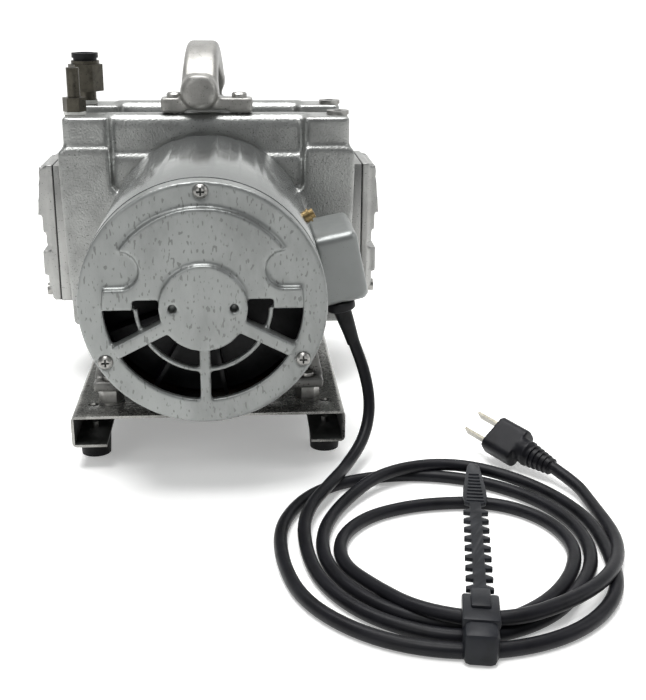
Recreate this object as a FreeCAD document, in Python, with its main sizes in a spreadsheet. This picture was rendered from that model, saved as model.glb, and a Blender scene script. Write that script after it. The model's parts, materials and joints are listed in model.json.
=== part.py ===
"""Opposed twin-head diaphragm vacuum pump: an oil-free pump driven by a shaded induction motor.

Frame: millimetres, +Z up, +X to the pump's right, +Y from the motor's end cover towards the crankcase.
The origin is on the floor, under the middle of the pump. The motor axis is parallel to Y.
"""
import FreeCAD, Part
import math
import os
import re

import Sketcher

V = FreeCAD.Vector

# ---------------------------------------------------------------- driving sizes
SIZES = [
    # motor
    ("axis_height", 112, "motor axis above the floor"),
    ("cover_face_y", -142.5, "front face of the end cover's flat ring"),
    ("cover_radius", 65, "end cover"),
    ("cover_depth", 13, "end cover from ring face to shell"),
    ("cover_wall", 4, "thickness of the end cover's casting"),
    ("cover_ring_inner", 52, "inner radius of the flat ring"),
    ("cover_spigot", 5, "length of the end cover's spigot in the shell"),
    ("plate_proud", 3.2, "upper plate in front of the ring face"),
    ("notch_radius", 10, "notches beside the upper plate"),
    ("notch_side", 42.3, "notch centre from the middle"),
    ("notch_rise", 20, "notch centre above the axis"),
    ("hub_radius", 23, "end cover's hub"),
    ("hub_proud", 5.5, "hub face in front of the ring face"),
    ("hub_hole_radius", 2.3, "blind holes in the hub"),
    ("hub_hole_side", 15.9, "blind hole from the middle"),
    ("spoke_width", 7, "side spokes"),
    ("spoke_drop_angle", 27, "side spokes below the horizontal, degrees"),
    ("post_width", 5.8, "vertical spoke"),
    ("rib_radius", 35.2, "thin ring rib across the openings"),
    ("rib_width", 2.4, "thin ring rib"),
    ("cover_screw_circle", 60, "radius of the end cover's screw circle"),
    ("small_head_radius", 3.75, "M4 pan head"),
    ("small_head_height", 2.6, "M4 pan head"),
    ("small_thread_radius", 2, "M4 thread"),
    ("shell_radius", 65.3, "motor shell, outside"),
    ("shell_wall", 1.6, "motor shell"),
    ("shell_length", 161, "motor shell"),
    ("shell_notch_depth", 4.4, "notches at the shell's rear edge"),
    ("shell_notch_width", 13.5, "middle notch at the shell's rear edge"),
    ("shaft_radius", 8.5, "motor shaft at the rotor and the eccentric"),
    ("shaft_nose_radius", 6, "motor shaft in the front bearing"),
    ("front_bearing_radius", 16, "front bearing, outside"),
    ("front_bearing_width", 10, "front bearing"),
    ("main_bearing_radius", 20, "main bearing, outside"),
    ("main_bearing_width", 12, "main bearing"),
    ("race_wall", 3, "thickness of a bearing ring"),
    ("stator_start_y", -72, "front end of the stator core"),
    ("stator_length", 66, "stator core"),
    ("stator_bore", 36, "radius of the stator bore"),
    ("air_gap", 0.4, "rotor to stator"),
    ("winding_radius", 8.5, "section of the end windings"),
    ("end_ring_width", 7, "rotor end rings"),
    ("fan_radius", 57, "cooling fan"),
    ("fan_depth", 15, "cooling fan"),
    ("fan_gap", 3.5, "fan blades behind the end cover's spigot face"),
    # crankcase
    ("case_half_width", 97, "crankcase side faces from the middle"),
    ("case_half_bottom", 93.5, "crankcase bottom corners from the middle"),
    ("case_bottom", "=axis_height - 63.5", "crankcase bottom above the floor"),
    ("case_shoulder", "=axis_height + 56", "top of the crankcase between the beams"),
    ("case_length", 111, "crankcase along Y"),
    ("case_wall", 8.5, "crankcase front wall"),
    ("cavity_half_width", 83, "crankcase cavity"),
    ("cavity_floor", "=axis_height - 54", "bottom of the crankcase cavity"),
    ("cavity_roof", "=axis_height + 46", "top of the crankcase cavity"),
    ("pillar_inner", 63, "inner face of a port block from the middle"),
    ("pillar_outer", 93.5, "outer face of a port block from the middle"),
    ("pillar_top", "=axis_height + 76", "top of the port blocks"),
    ("pillar_setback", 2.5, "front face of the port blocks behind the case face"),
    ("pillar_depth", 32, "port blocks along Y"),
    ("beam_top", "=axis_height + 77.7", "top of the cross beams"),
    ("beam_setback", 7, "cross beams behind the case face"),
    ("beam_depth", 20, "cross beams along Y"),
    ("panel_depth", 4, "recessed panel under the front beam"),
    ("panel_half_width", 63, "recessed panel"),
    ("panel_bottom", "=axis_height + 27", "bottom of the recessed panel"),
    ("panel_top", "=axis_height + 51", "top of the recessed panel"),
    ("boss_radius", 27, "main bearing boss"),
    ("boss_length", 20, "main bearing boss"),
    ("port_side", 87, "port bores from the middle"),
    ("port_inset", 22, "port bores from the front and rear faces"),
    ("port_radius", 6.6, "port bores"),
    ("port_depth", 38, "port bores"),
    ("gallery_radius", 4.5, "cross gallery in each beam"),
    ("gallery_height", "=axis_height + 63", "cross galleries above the floor"),
    ("rear_cover_thickness", 5.5, "rear cover"),
    ("rear_screw_side", 88, "rear cover screws from the middle"),
    # heads
    ("head_height", 94, "heads along Z"),
    ("head_bottom", "=axis_height - head_height / 2 - 5", "bottom of the heads above the floor"),
    ("head_width", 60, "heads along Y"),
    ("valve_plate_thickness", 7, "valve plates"),
    ("gasket_thickness", 0.8, "head gaskets"),
    ("head_reach", 12.2, "head cover's thickest rib from the gasket"),
    ("head_screw_inset", 6.5, "head screws from the head's edges"),
    ("head_screw_radius", 2.5, "M5 thread"),
    ("cap_head_radius", 4.25, "M5 cap head"),
    ("cap_head_height", 5, "M5 cap head"),
    ("diaphragm_radius", "=head_height / 2 - 14", "diaphragms"),
    ("diaphragm_seat_depth", 5, "diaphragm seat in the crankcase side"),
    ("diaphragm_thickness", 1.9, "diaphragms"),
    ("side_bore_radius", "=diaphragm_radius - 5", "openings in the crankcase sides"),
    ("chamber_radius", "=diaphragm_radius - 6", "pumping chambers"),
    ("chamber_depth", 3.7, "pumping chambers in the valve plates"),
    ("fit_gap", 0.05, "clearance at seats"),
    ("valve_hole_radius", 4, "valve holes"),
    ("valve_rise", 14, "valve holes above and below the axis"),
    ("reed_thickness", 0.4, "valve reeds"),
    # crank
    ("crank_throw", 3, "eccentric's offset, half of the stroke"),
    ("eccentric_radius", 14, "eccentric"),
    ("eccentric_length", 38, "eccentric"),
    ("rod_thickness", 10, "connecting rods at the big end"),
    ("rod_spacing", 14, "between the middles of the two big ends"),
    ("rod_bearing_wall", 5, "rod bearings"),
    ("big_end_wall", 5, "connecting rods round the bearing"),
    ("rod_height", 14, "connecting rod shanks"),
    ("rod_block_width", 20, "connecting rods at the diaphragm"),
    ("clamp_radius", 18, "clamp discs"),
    ("clamp_thickness", 2.5, "clamp discs"),
    ("clamp_screw_radius", 4, "clamp screws"),
    ("weight_thickness", 6, "counterweights"),
    ("weight_radius", 30, "counterweights"),
    # handle
    ("handle_crest", "=axis_height + 121.6", "top of the handle"),
    ("handle_width", 24, "handle bar"),
    ("handle_thickness", 16, "handle bar"),
    ("handle_reach", 49.5, "half length of the handle"),
    ("handle_rise", 27, "crest above the handle's ends"),
    ("handle_bottom", "=axis_height + 80", "underside of the handle's ends"),
    ("bracket_half_width", 30, "handle brackets"),
    ("bracket_top", "=axis_height + 87.7", "handle brackets"),
    ("bracket_depth", 14, "handle brackets along Y"),
    ("pad_gap_half_width", 14.5, "gap between the pads under a bracket"),
    ("pad_height", 2.2, "pads under a bracket"),
    ("bar_offset", 2.6, "handle bar to the left of the brackets' middle"),
    ("bar_turn", 2.5, "handle bar about Z, degrees"),
    ("rear_tab_height", 2.3, "thin tab under the handle's rear end"),
    ("handle_bolt_side", 21.3, "handle bolts from the middle"),
    # fittings
    ("nipple_radius", 4.15, "hose nipple tube"),
    ("nipple_bore", 2.6, "hose nipple bore"),
    ("nipple_top", "=axis_height + 106", "hose nipple"),
    ("nipple_hex_radius", 7.6, "hose nipple hexagon, over the corners"),
    ("nipple_hex_height", 9, "hose nipple hexagon"),
    ("tape_height", 2, "seal tape seen under a fitting"),
    ("thread_engagement", 12, "fitting threads in the ports"),
    ("push_body_radius", 12.1, "push-in fitting hexagon, over the corners"),
    ("push_hex_bottom", "=axis_height + 85", "push-in fitting hexagon"),
    ("push_hex_top", "=axis_height + 103.5", "push-in fitting hexagon"),
    ("push_top", "=axis_height + 106", "push-in fitting body"),
    ("tube_radius", 6, "tube that the push-in fitting takes"),
    ("collar_radius", 9.25, "release collar flange"),
    ("collar_travel", 1.5, "release collar"),
    ("collar_flange", 3.4, "release collar flange height"),
    # base
    ("plate_half_width", 79.5, "base plate"),
    ("plate_top", 33.7, "base plate"),
    ("plate_height", 19.1, "base plate, lip to top"),
    ("plate_sheet", 1.6, "base plate"),
    ("plate_lip", 20, "base plate lips"),
    ("plate_start_y", -97.5, "front edge of the base plate"),
    ("plate_length", 217, "base plate"),
    ("plate_bend", 3, "bends of the base plate"),
    ("bolt_side", "=plate_half_width - 21", "base bolts from the middle"),
    ("bolt_inset", 25, "base bolts from the plate's ends"),
    ("bolt_radius", 4, "M8 base bolts"),
    ("bolt_hex_radius", 7.4, "M8 hexagon, over the corners"),
    ("bolt_head_height", 5.3, "M8 hexagon"),
    ("washer_radius", 8, "M8 washer"),
    ("washer_thickness", 1.2, "M8 washer"),
    ("spare_hole_side", "=plate_half_width - 11", "spare holes in the plate, from the middle"),
    ("spare_hole_inset", 19.5, "spare holes from the plate's ends"),
    ("spare_hole_radius", 3, "spare holes in the plate"),
    ("nut_height", 7, "spacer nuts between the plate and the bracket"),
    ("lug_thickness", 6, "bracket lugs"),
    ("foot_side", "=plate_half_width - 10", "rubber feet from the middle"),
    ("foot_inset", 28, "rubber feet from the plate's ends"),
    ("foot_radius", 9.55, "rubber feet, top"),
    ("foot_tip_radius", 8.7, "rubber feet, bottom"),
    # electrical
    ("box_side", 64.5, "terminal box, inner side from the middle"),
    ("box_width", 26, "terminal box along X"),
    ("box_start_y", -82.5, "terminal box front"),
    ("box_length", 60, "terminal box along Y"),
    ("box_bottom", "=axis_height - 17.6", "terminal box bottom"),
    ("box_height", 41.4, "terminal box"),
    ("box_tilt", 12, "terminal box about Y, degrees"),
    ("box_wall", 2.5, "terminal box"),
    ("capacitor_radius", 8.5, "run capacitor"),
    ("gland_radius", 8.5, "cord gland flange"),
    ("gland_side", 79, "cord gland from the middle"),
    ("gland_y", -73.5, "cord gland"),
    ("gland_height", "=axis_height - 23.2", "underside of the cord gland's flange"),
    ("gland_flange", 5.3, "cord gland flange"),
    ("gland_sleeve", 22, "cord gland's tapered sleeve"),
    ("cord_radius", 3.5, "mains cord"),
    ("coil_height", 15, "bundle of cord turns"),
    ("earth_y", -75, "earth screw"),
]

doc = FreeCAD.newDocument("twin_head_pump")
sheet = doc.addObject("Spreadsheet::Sheet", "Sizes")
for row, (alias, value, meaning) in enumerate(SIZES, start=1):
    sheet.set("A%d" % row, meaning)
    sheet.set("B%d" % row, str(value))
    sheet.setAlias("B%d" % row, alias)
doc.recompute()

PARTS = []


def size(alias):
    """Value of one cell of the sheet, for the few shapes that are set without expressions."""
    return float(sheet.get(alias))


# Stations and levels that follow from the sizes
SHELL_FRONT = "(cover_face_y + cover_depth)"
CASE_FRONT = "(cover_face_y + cover_depth + shell_length)"
CASE_REAR = "(cover_face_y + cover_depth + shell_length + case_length)"
HEAD_Y = "(cover_face_y + cover_depth + shell_length + case_length / 2)"
HEAD_Z = "(head_bottom + head_height / 2)"
PLATE_END = "(plate_start_y + plate_length)"
PLATE_MIDDLE = "(plate_start_y + plate_length / 2)"
FAN_FRONT = "(cover_face_y + cover_depth + cover_spigot + fan_gap - cover_spigot)"
MAIN_BEARING_Y = "(cover_face_y + cover_depth + shell_length + case_wall + boss_length - main_bearing_width - 2)"
FRONT_BEARING_Y = "(cover_face_y + cover_wall - 0.5)"
SEAT_X = "(case_half_width - diaphragm_seat_depth)"
PLATE_X = "(case_half_width + valve_plate_thickness)"
COVER_X = "(case_half_width + valve_plate_thickness + gasket_thickness)"


# ---------------------------------------------------------------- building helpers
def cells(text):
    """An expression in which each name with an underscore stands for a cell of the sheet."""
    return re.sub(r"\b([a-z]+(?:_[a-z]+)+)\b", r"Sizes.\1", str(text))


def bind(item, **properties):
    for name, text in properties.items():
        item.setExpression(name, cells(text))
    return item


def place(item, x=0, y=0, z=0):
    for axis, text in (("x", x), ("y", y), ("z", z)):
        item.setExpression("Placement.Base." + axis, cells(text))
    return item


def turn(item, axis, degrees):
    item.Placement.Rotation = FreeCAD.Rotation(V(*axis), degrees)
    return item


TURNS = {"x": ((0, 1, 0), 90), "y": ((1, 0, 0), -90), "z": ((0, 0, 1), 0)}


def box(name, x, y, z, length, width, height):
    item = doc.addObject("Part::Box", name)
    bind(item, Length=length, Width=width, Height=height)
    return place(item, x, y, z)


def cylinder(name, axis, radius, length, x=0, y=0, z=0):
    item = doc.addObject("Part::Cylinder", name)
    bind(item, Radius=radius, Height=length)
    turn(item, *TURNS[axis])
    return place(item, x, y, z)


def hexagon(name, radius, height, x, y, z):
    item = doc.addObject("Part::Prism", name)
    item.Polygon = 6
    bind(item, Circumradius=radius, Height=height)
    return place(item, x, y, z)


def fuse(name, *items):
    item = doc.addObject("Part::MultiFuse", name)
    item.Shapes = list(items)
    item.Refine = True
    return item


def cut(name, base, *tools):
    item = doc.addObject("Part::Cut", name)
    item.Base = base
    item.Tool = tools[0] if len(tools) == 1 else fuse(name + "_tools", *tools)
    item.Refine = True
    return item


def common(name, *items):
    item = doc.addObject("Part::MultiCommon", name)
    item.Shapes = list(items)
    return item


def group(name, items):
    item = doc.addObject("Part::Compound", name)
    item.Links = list(items)
    return item


def mirror(name, item, normal=(1, 0, 0), base=(0, 0, 0)):
    copy = doc.addObject("Part::Mirroring", name)
    copy.Source = item
    copy.Normal = V(*normal)
    copy.Base = V(*base)
    return copy


def fillet(name, base, radius, wanted):
    """Rounds the edges of base for which wanted(edge) is true."""
    doc.recompute()
    item = doc.addObject("Part::Fillet", name)
    item.Base = base
    numbers = [i for i, edge in enumerate(base.Shape.Edges, start=1) if wanted(edge)]
    item.Edges = [(number, radius, radius) for number in numbers]
    return item


def along(axis):
    """A test for straight edges that run along one axis."""
    def test(edge):
        if edge.Curve.TypeId != "Part::GeomLine":
            return False
        return abs(edge.Curve.Direction.dot(V(*axis))) > 0.999
    return test


def middle_of(edge):
    return edge.BoundBox.Center


def outline_sketch(body, plane, points):
    """A closed outline of straight lines whose corners are bound to the sheet."""
    sketch = body.newObject("Sketcher::SketchObject", body.Name + "_outline")
    origin = next(f for f in body.Origin.OriginFeatures if f.Role == plane)
    sketch.AttachmentSupport = [(origin, "")]
    sketch.MapMode = "FlatFace"
    count = len(points)
    start = [V(math.cos(-2 * math.pi * i / count), math.sin(-2 * math.pi * i / count), 0) * 50
             for i in range(count)]
    for i in range(count):
        sketch.addGeometry(Part.LineSegment(start[i], start[(i + 1) % count]), False)
    for i in range(count):
        sketch.addConstraint(Sketcher.Constraint("Coincident", i, 2, (i + 1) % count, 1))
    for i, corner in enumerate(points):
        for kind, axis, text in (("DistanceX", -2, corner[0]), ("DistanceY", -1, corner[1])):
            if text == 0:
                sketch.addConstraint(Sketcher.Constraint("PointOnObject", i, 1, axis))
                continue
            number = sketch.addConstraint(Sketcher.Constraint(kind, -1, 1, i, 1, 10.0 + i))
            sketch.setExpression("Constraints[%d]" % number, cells(text))
    return sketch


def turned(name, points, axis="y", x=0, y=0, z=0):
    """A turned piece: points are (radius, distance along the axis)."""
    body = doc.addObject("PartDesign::Body", name)
    sketch = outline_sketch(body, "XY_Plane", points)
    feature = body.newObject("PartDesign::Revolution", name + "_turn")
    feature.Profile = sketch
    feature.ReferenceAxis = (sketch, ["V_Axis"])
    feature.Angle = 360
    sketch.Visibility = False
    spins = {"y": ((0, 0, 1), 0), "z": ((1, 0, 0), 90), "x": ((0, 0, 1), -90), "down": ((1, 0, 0), -90)}
    turn(body, *spins[axis])
    return place(body, x, y, z)


def prism(name, points, depth, x=0, y=0, z=0, plane="XZ_Plane"):
    """An outline in (X, Z), carried along +Y from the body's place."""
    body = doc.addObject("PartDesign::Body", name)
    sketch = outline_sketch(body, plane, points)
    pad = body.newObject("PartDesign::Pad", name + "_pad")
    pad.Profile = sketch
    pad.Reversed = plane == "XZ_Plane"
    bind(pad, Length=depth)
    return place(body, x, y, z)


def node(label, item):
    """Names a finished sub-part: its label is the name of its file."""
    item.Label = label
    PARTS.append((label, item))
    return item


def minus(text):
    return "-(%s)" % text


def both_sides(text):
    """The same distance to the left and to the right of the middle."""
    return ((-1, minus(text)), (1, text))


# ---------------------------------------------------------------- end cover
def cover_openings():
    """Air openings between the hub and the flat ring, in the lower half of the cover."""
    depth = "cover_wall + hub_proud + 2"
    start = "cover_face_y - hub_proud - 1"
    field = cut("opening_field",
                cylinder("opening_outer", "y", "cover_ring_inner", depth, 0, start, "axis_height"),
                cylinder("opening_inner", "y", "hub_radius", depth, 0, start, "axis_height"))
    lower = box("opening_lower", "-cover_ring_inner", start, "axis_height - cover_ring_inner",
                "2 * cover_ring_inner", depth, "cover_ring_inner - 1")
    inner = box("opening_upper", "-rib_radius - rib_width / 2", start, "axis_height - 2",
                "2 * rib_radius + rib_width", depth, 6.2)
    area = common("opening_area", field, fuse("opening_band", lower, inner))
    rib = cut("rib_ring",
              cylinder("rib_outer", "y", "rib_radius + rib_width / 2", depth, 0, start, "axis_height"),
              cylinder("rib_inner", "y", "rib_radius - rib_width / 2", depth, 0, start, "axis_height"))
    rib_low = cut("rib_low", rib, box("rib_trim", "-cover_radius", start, "axis_height - 1",
                                      "2 * cover_radius", depth, "cover_radius"))
    post = box("post", "-post_width / 2", start, "axis_height - cover_ring_inner",
               "post_width", depth, "cover_ring_inner")
    return cut("cover_windows", area, rib_low, post, *side_spokes("opening", start, depth))


def side_spokes(name, start, depth):
    spokes = []
    for side, angle in (("left", "180 + spoke_drop_angle"), ("right", "-spoke_drop_angle")):
        spoke = box(name + "_spoke_" + side, 0, start, "axis_height", "cover_ring_inner", depth, "spoke_width")
        spoke.Placement.Rotation = FreeCAD.Rotation(V(0, -1, 0), 10)
        spoke.setExpression("Placement.Rotation.Angle", cells(angle))
        sine = "sin(%s)" % angle
        cosine = "cos(%s)" % angle
        place(spoke, "spoke_width / 2 * %s" % sine, start, "axis_height - spoke_width / 2 * %s" % cosine)
        spokes.append(spoke)
    return spokes


def end_cover():
    disc = cylinder("cover_disc", "y", "cover_radius", "cover_depth", 0, "cover_face_y", "axis_height")
    spigot = cylinder("cover_spigot", "y", "shell_radius - shell_wall - fit_gap", "cover_spigot",
                      0, SHELL_FRONT, "axis_height")
    hollow = cylinder("cover_hollow", "y", "shell_radius - shell_wall - cover_wall",
                      "cover_depth - cover_wall + cover_spigot + 1", 0, "cover_face_y + cover_wall", "axis_height")
    disc_plate = cylinder("cover_plate_disc", "y", "cover_ring_inner", "plate_proud + 1", 0,
                          "cover_face_y - plate_proud", "axis_height")
    below = box("plate_below", "-cover_radius", "cover_face_y - plate_proud - 1", "axis_height - cover_radius - 1",
                "2 * cover_radius", "plate_proud + 3", "cover_radius")
    trims = [below]
    for side, x in both_sides("notch_side"):
        trims.append(cylinder("notch_%d" % side, "y", "notch_radius", "plate_proud + 3", x,
                              "cover_face_y - plate_proud - 1", "axis_height + notch_rise"))
        left = minus("notch_side + cover_radius") if side < 0 else "notch_side"
        trims.append(box("notch_side_%d" % side, left, "cover_face_y - plate_proud - 1",
                         "axis_height + notch_rise - notch_radius", "cover_radius", "plate_proud + 3",
                         "2 * notch_radius"))
    plate = cut("cover_plate", disc_plate, *trims)
    hub = cylinder("cover_hub", "y", "hub_radius", "hub_proud + cover_depth", 0,
                   "cover_face_y - hub_proud", "axis_height")
    spokes = side_spokes("cover", "cover_face_y - hub_proud", "hub_proud + cover_wall")
    bore = cylinder("cover_bore", "y", "front_bearing_radius", "cover_depth + 1", 0, FRONT_BEARING_Y, "axis_height")
    shaft_room = cylinder("cover_shaft_room", "y", "shaft_nose_radius + 2", "cover_wall", 0,
                          "%s - 2" % FRONT_BEARING_Y, "axis_height")
    shell = cut("cover_casting", fuse("cover_body", disc, spigot), hollow)
    whole = fuse("cover_whole", shell, plate, hub, *spokes)
    holes = [cylinder("hub_hole_%d" % side, "y", "hub_hole_radius", "hub_proud + 1", x,
                      "cover_face_y - hub_proud - 0.5", "axis_height")
             for side, x in both_sides("hub_hole_side")]
    for i, (x, z) in enumerate(cover_screw_places()):
        holes.append(cylinder("cover_screw_hole_%d" % i, "y", "small_thread_radius", "cover_depth + 2",
                              x, "cover_face_y - 1", z))
        holes.append(cylinder("cover_screw_recess_%d" % i, "y", "small_head_radius + 0.5", 1.5,
                              x, "cover_face_y - 0.5", z))
    node("end_cover", cut("end_cover", whole, cover_openings(), bore, shaft_room, *holes))


def cover_screw_places():
    return [("cover_screw_circle * cos(%d)" % angle, "axis_height + cover_screw_circle * sin(%d)" % angle)
            for angle in (90, 210, 330)]


def pan_screw(name, axis, x, y, z, length="cover_depth + 3"):
    """A pan head screw whose head's seat is at its place; its axis runs from the head to the tip."""
    points = [(0, "-small_head_height"), ("small_head_radius * 0.6", "-small_head_height"),
              ("small_head_radius", "-small_head_height * 0.45"), ("small_head_radius", 0),
              ("small_thread_radius", 0), ("small_thread_radius", length), (0, length)]
    return turned(name, points, axis, x, y, z)


def cross_recess(name, x, y, z):
    """The two slots of a cross recess whose open ends are at y, seen from the front."""
    wide = box(name + "_wide", x + " - small_head_radius * 0.55", y + " - 1", z + " - 0.45",
               "small_head_radius * 1.1", 2.6, 0.9)
    tall = box(name + "_tall", x + " - 0.45", y + " - 1", z + " - small_head_radius * 0.55", 0.9, 2.6,
               "small_head_radius * 1.1")
    return wide, tall


def end_cover_screws():
    screws = []
    for i, (x, z) in enumerate(cover_screw_places()):
        plain = pan_screw("cover_screw_%d" % i, "y", x, "cover_face_y + 1", z, "cover_depth")
        slots = cross_recess("cover_cross_%d" % i, x, "cover_face_y + 1 - small_head_height", z)
        screws.append(cut("cover_screw_crossed_%d" % i, plain, *slots))
    node("end_cover_screws", group("end_cover_screws", screws))


# ---------------------------------------------------------------- motor
def motor_shell():
    tube = cut("shell_tube",
               cylinder("shell_outer", "y", "shell_radius", "shell_length", 0, SHELL_FRONT, "axis_height"),
               cylinder("shell_inner", "y", "shell_radius - shell_wall", "shell_length + 2", 0,
                        SHELL_FRONT + " - 1", "axis_height"))
    tools = []
    for i, (angle, width) in enumerate(((0, "shell_notch_width"), (-16, 6), (16, 6), (-30, 6), (30, 6))):
        tool = box("shell_notch_%d" % i, 0, CASE_FRONT + " - shell_notch_depth", "axis_height",
                   width, "shell_notch_depth + 1", "shell_radius + 2")
        tool.Placement.Rotation = FreeCAD.Rotation(V(0, 1, 0), angle)
        half = "(%s) / 2" % width
        place(tool, "-%s * cos(%d)" % (half, angle), CASE_FRONT + " - shell_notch_depth",
              "axis_height + %s * sin(%d)" % (half, angle))
        tools.append(tool)
    node("motor_shell", cut("motor_shell", tube, *tools))


def stator():
    body = doc.addObject("PartDesign::Body", "stator_core")
    plane = next(f for f in body.Origin.OriginFeatures if f.Role == "XZ_Plane")
    ring = body.newObject("Sketcher::SketchObject", "stator_ring")
    ring.AttachmentSupport = [(plane, "")]
    ring.MapMode = "FlatFace"
    for radius, text in ((60, "shell_radius - shell_wall"), (36, "stator_bore")):
        number = ring.addGeometry(Part.Circle(V(0, 0, 0), V(0, 0, 1), radius), False)
        ring.addConstraint(Sketcher.Constraint("Coincident", number, 3, -1, 1))
        bound = ring.addConstraint(Sketcher.Constraint("Radius", number, radius))
        ring.setExpression("Constraints[%d]" % bound, cells(text))
    pad = body.newObject("PartDesign::Pad", "stator_pad")
    pad.Profile = ring
    pad.Reversed = True
    bind(pad, Length="stator_length")
    slot = outline_sketch(body, "XZ_Plane", [(-1.5, "stator_bore - 1"), (-3, "stator_bore + 12"),
                                             (3, "stator_bore + 12"), (1.5, "stator_bore - 1")])
    pocket = body.newObject("PartDesign::Pocket", "stator_slot")
    pocket.Profile = slot
    pocket.Reversed = True
    pocket.Type = 1
    pattern = body.newObject("PartDesign::PolarPattern", "stator_slots")
    pattern.Originals = [pocket]
    pattern.Axis = (ring, ["N_Axis"])
    pattern.Angle = 360
    pattern.Occurrences = 24
    body.Tip = pattern
    place(body, 0, "stator_start_y", "axis_height")
    node("stator_core", body)
    windings = []
    for name, y in (("front", "stator_start_y - winding_radius"),
                    ("rear", "stator_start_y + stator_length + winding_radius")):
        ring = doc.addObject("Part::Torus", "winding_" + name)
        bind(ring, Radius1="stator_bore + winding_radius + 5", Radius2="winding_radius")
        turn(ring, (1, 0, 0), -90)
        windings.append(place(ring, 0, y, "axis_height"))
    node("stator_windings", group("stator_windings", windings))


def bearing_ring(name, outer, inner, width, y):
    return cut(name, cylinder(name + "_outside", "y", outer, width, 0, y, "axis_height"),
               cylinder(name + "_inside", "y", inner, width + " + 2", 0, y + " - 1", "axis_height"))


def bearings():
    node("front_bearing", bearing_ring("front_bearing", "front_bearing_radius",
                                       "front_bearing_radius - race_wall", "front_bearing_width",
                                       FRONT_BEARING_Y))
    node("main_bearing", bearing_ring("main_bearing", "main_bearing_radius", "main_bearing_radius - race_wall",
                                      "main_bearing_width", MAIN_BEARING_Y))
    inner = [bearing_ring("front_race", "shaft_nose_radius + race_wall", "shaft_nose_radius",
                          "front_bearing_width", FRONT_BEARING_Y),
             bearing_ring("main_race", "shaft_radius + race_wall", "shaft_radius", "main_bearing_width",
                          MAIN_BEARING_Y)]
    node("bearing_inner_rings", group("bearing_inner_rings", inner))


def rotor():
    nose_start = FRONT_BEARING_Y
    nose_end = "%s + front_bearing_width + 1" % FRONT_BEARING_Y
    shaft_end = HEAD_Y + " + eccentric_length / 2 + 1"
    node("motor_shaft", turned("motor_shaft", [
        (0, nose_start), ("shaft_nose_radius", nose_start), ("shaft_nose_radius", nose_end),
        ("shaft_radius", nose_end), ("shaft_radius", shaft_end), (0, shaft_end)], "y", 0, 0, "axis_height"))
    node("rotor_core", bearing_ring("rotor_core", "stator_bore - air_gap", "shaft_radius", "stator_length",
                                    "stator_start_y"))
    rings = [bearing_ring("end_ring_" + name, "stator_bore - air_gap - 1", "stator_bore - 14", "end_ring_width", y)
             for name, y in (("front", "stator_start_y - end_ring_width"), ("rear", "stator_start_y + stator_length"))]
    node("rotor_end_rings", group("rotor_end_rings", rings))


def cooling_fan():
    hub = cylinder("fan_hub", "y", "shaft_radius + 5", "fan_depth", 0, FAN_FRONT, "axis_height")
    disc = cylinder("fan_disc", "y", "fan_radius", 2, 0, FAN_FRONT + " + fan_depth - 2", "axis_height")
    blades = []
    for i in range(9):
        blade = box("fan_blade_%d" % i, "shaft_radius + 2", FAN_FRONT, "axis_height",
                    "fan_radius - shaft_radius - 2.5", "fan_depth - 1", 2)
        angle = i * 40
        blade.Placement.Rotation = FreeCAD.Rotation(V(0, -1, 0), angle)
        place(blade, "(shaft_radius + 2) * cos(%d)" % angle, FAN_FRONT,
              "axis_height + (shaft_radius + 2) * sin(%d)" % angle)
        blades.append(blade)
    bore = cylinder("fan_bore", "y", "shaft_radius", "fan_depth + 2", 0, FAN_FRONT + " - 1", "axis_height")
    node("cooling_fan", cut("cooling_fan", fuse("fan_body", hub, disc, *blades), bore))


def foot_bracket():
    """Cast saddle under the motor shell, standing on a spacer nut over each front base bolt."""
    low = "(plate_top + washer_thickness + nut_height)"
    high = low + " + lug_thickness"
    saddle = prism("saddle", [
        (minus("bolt_side + 9.5"), low), (minus("bolt_side - 10"), low),
        (minus("bolt_side - 16"), low + " + 1.4"), ("bolt_side - 16", low + " + 1.4"),
        ("bolt_side - 10", low), ("bolt_side + 9.5", low), ("bolt_side + 9.5", high),
        ("bolt_side + 1", "axis_height - 24"), (minus("bolt_side + 1"), "axis_height - 24"),
        (minus("bolt_side + 9.5"), high)], 14, 0, "plate_start_y + bolt_inset + 2")
    lugs = [box("lug_%d" % side, x, "plate_start_y + bolt_inset - 7", low, 19.5, 20, "lug_thickness")
            for side, x in ((-1, minus("bolt_side + 9.5")), (1, "bolt_side - 10"))]
    shell = cylinder("saddle_seat", "y", "shell_radius", 60, 0, "plate_start_y", "axis_height")
    holes = [cylinder("lug_hole_%d" % side, "z", "bolt_radius", "lug_thickness + 4", x,
                      "plate_start_y + bolt_inset", low + " - 1")
             for side, x in both_sides("bolt_side")]
    node("motor_foot_bracket", cut("motor_foot_bracket", fuse("bracket_body", saddle, *lugs), shell, *holes))


# ---------------------------------------------------------------- crankcase
def port_places():
    """The four port bores: (name, x, y)."""
    return [("%s_%s" % (end, side), x, y)
            for end, y in (("front", CASE_FRONT + " + port_inset"), ("rear", CASE_REAR + " - port_inset"))
            for side, x in (("left", "-port_side"), ("right", "port_side"))]


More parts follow.
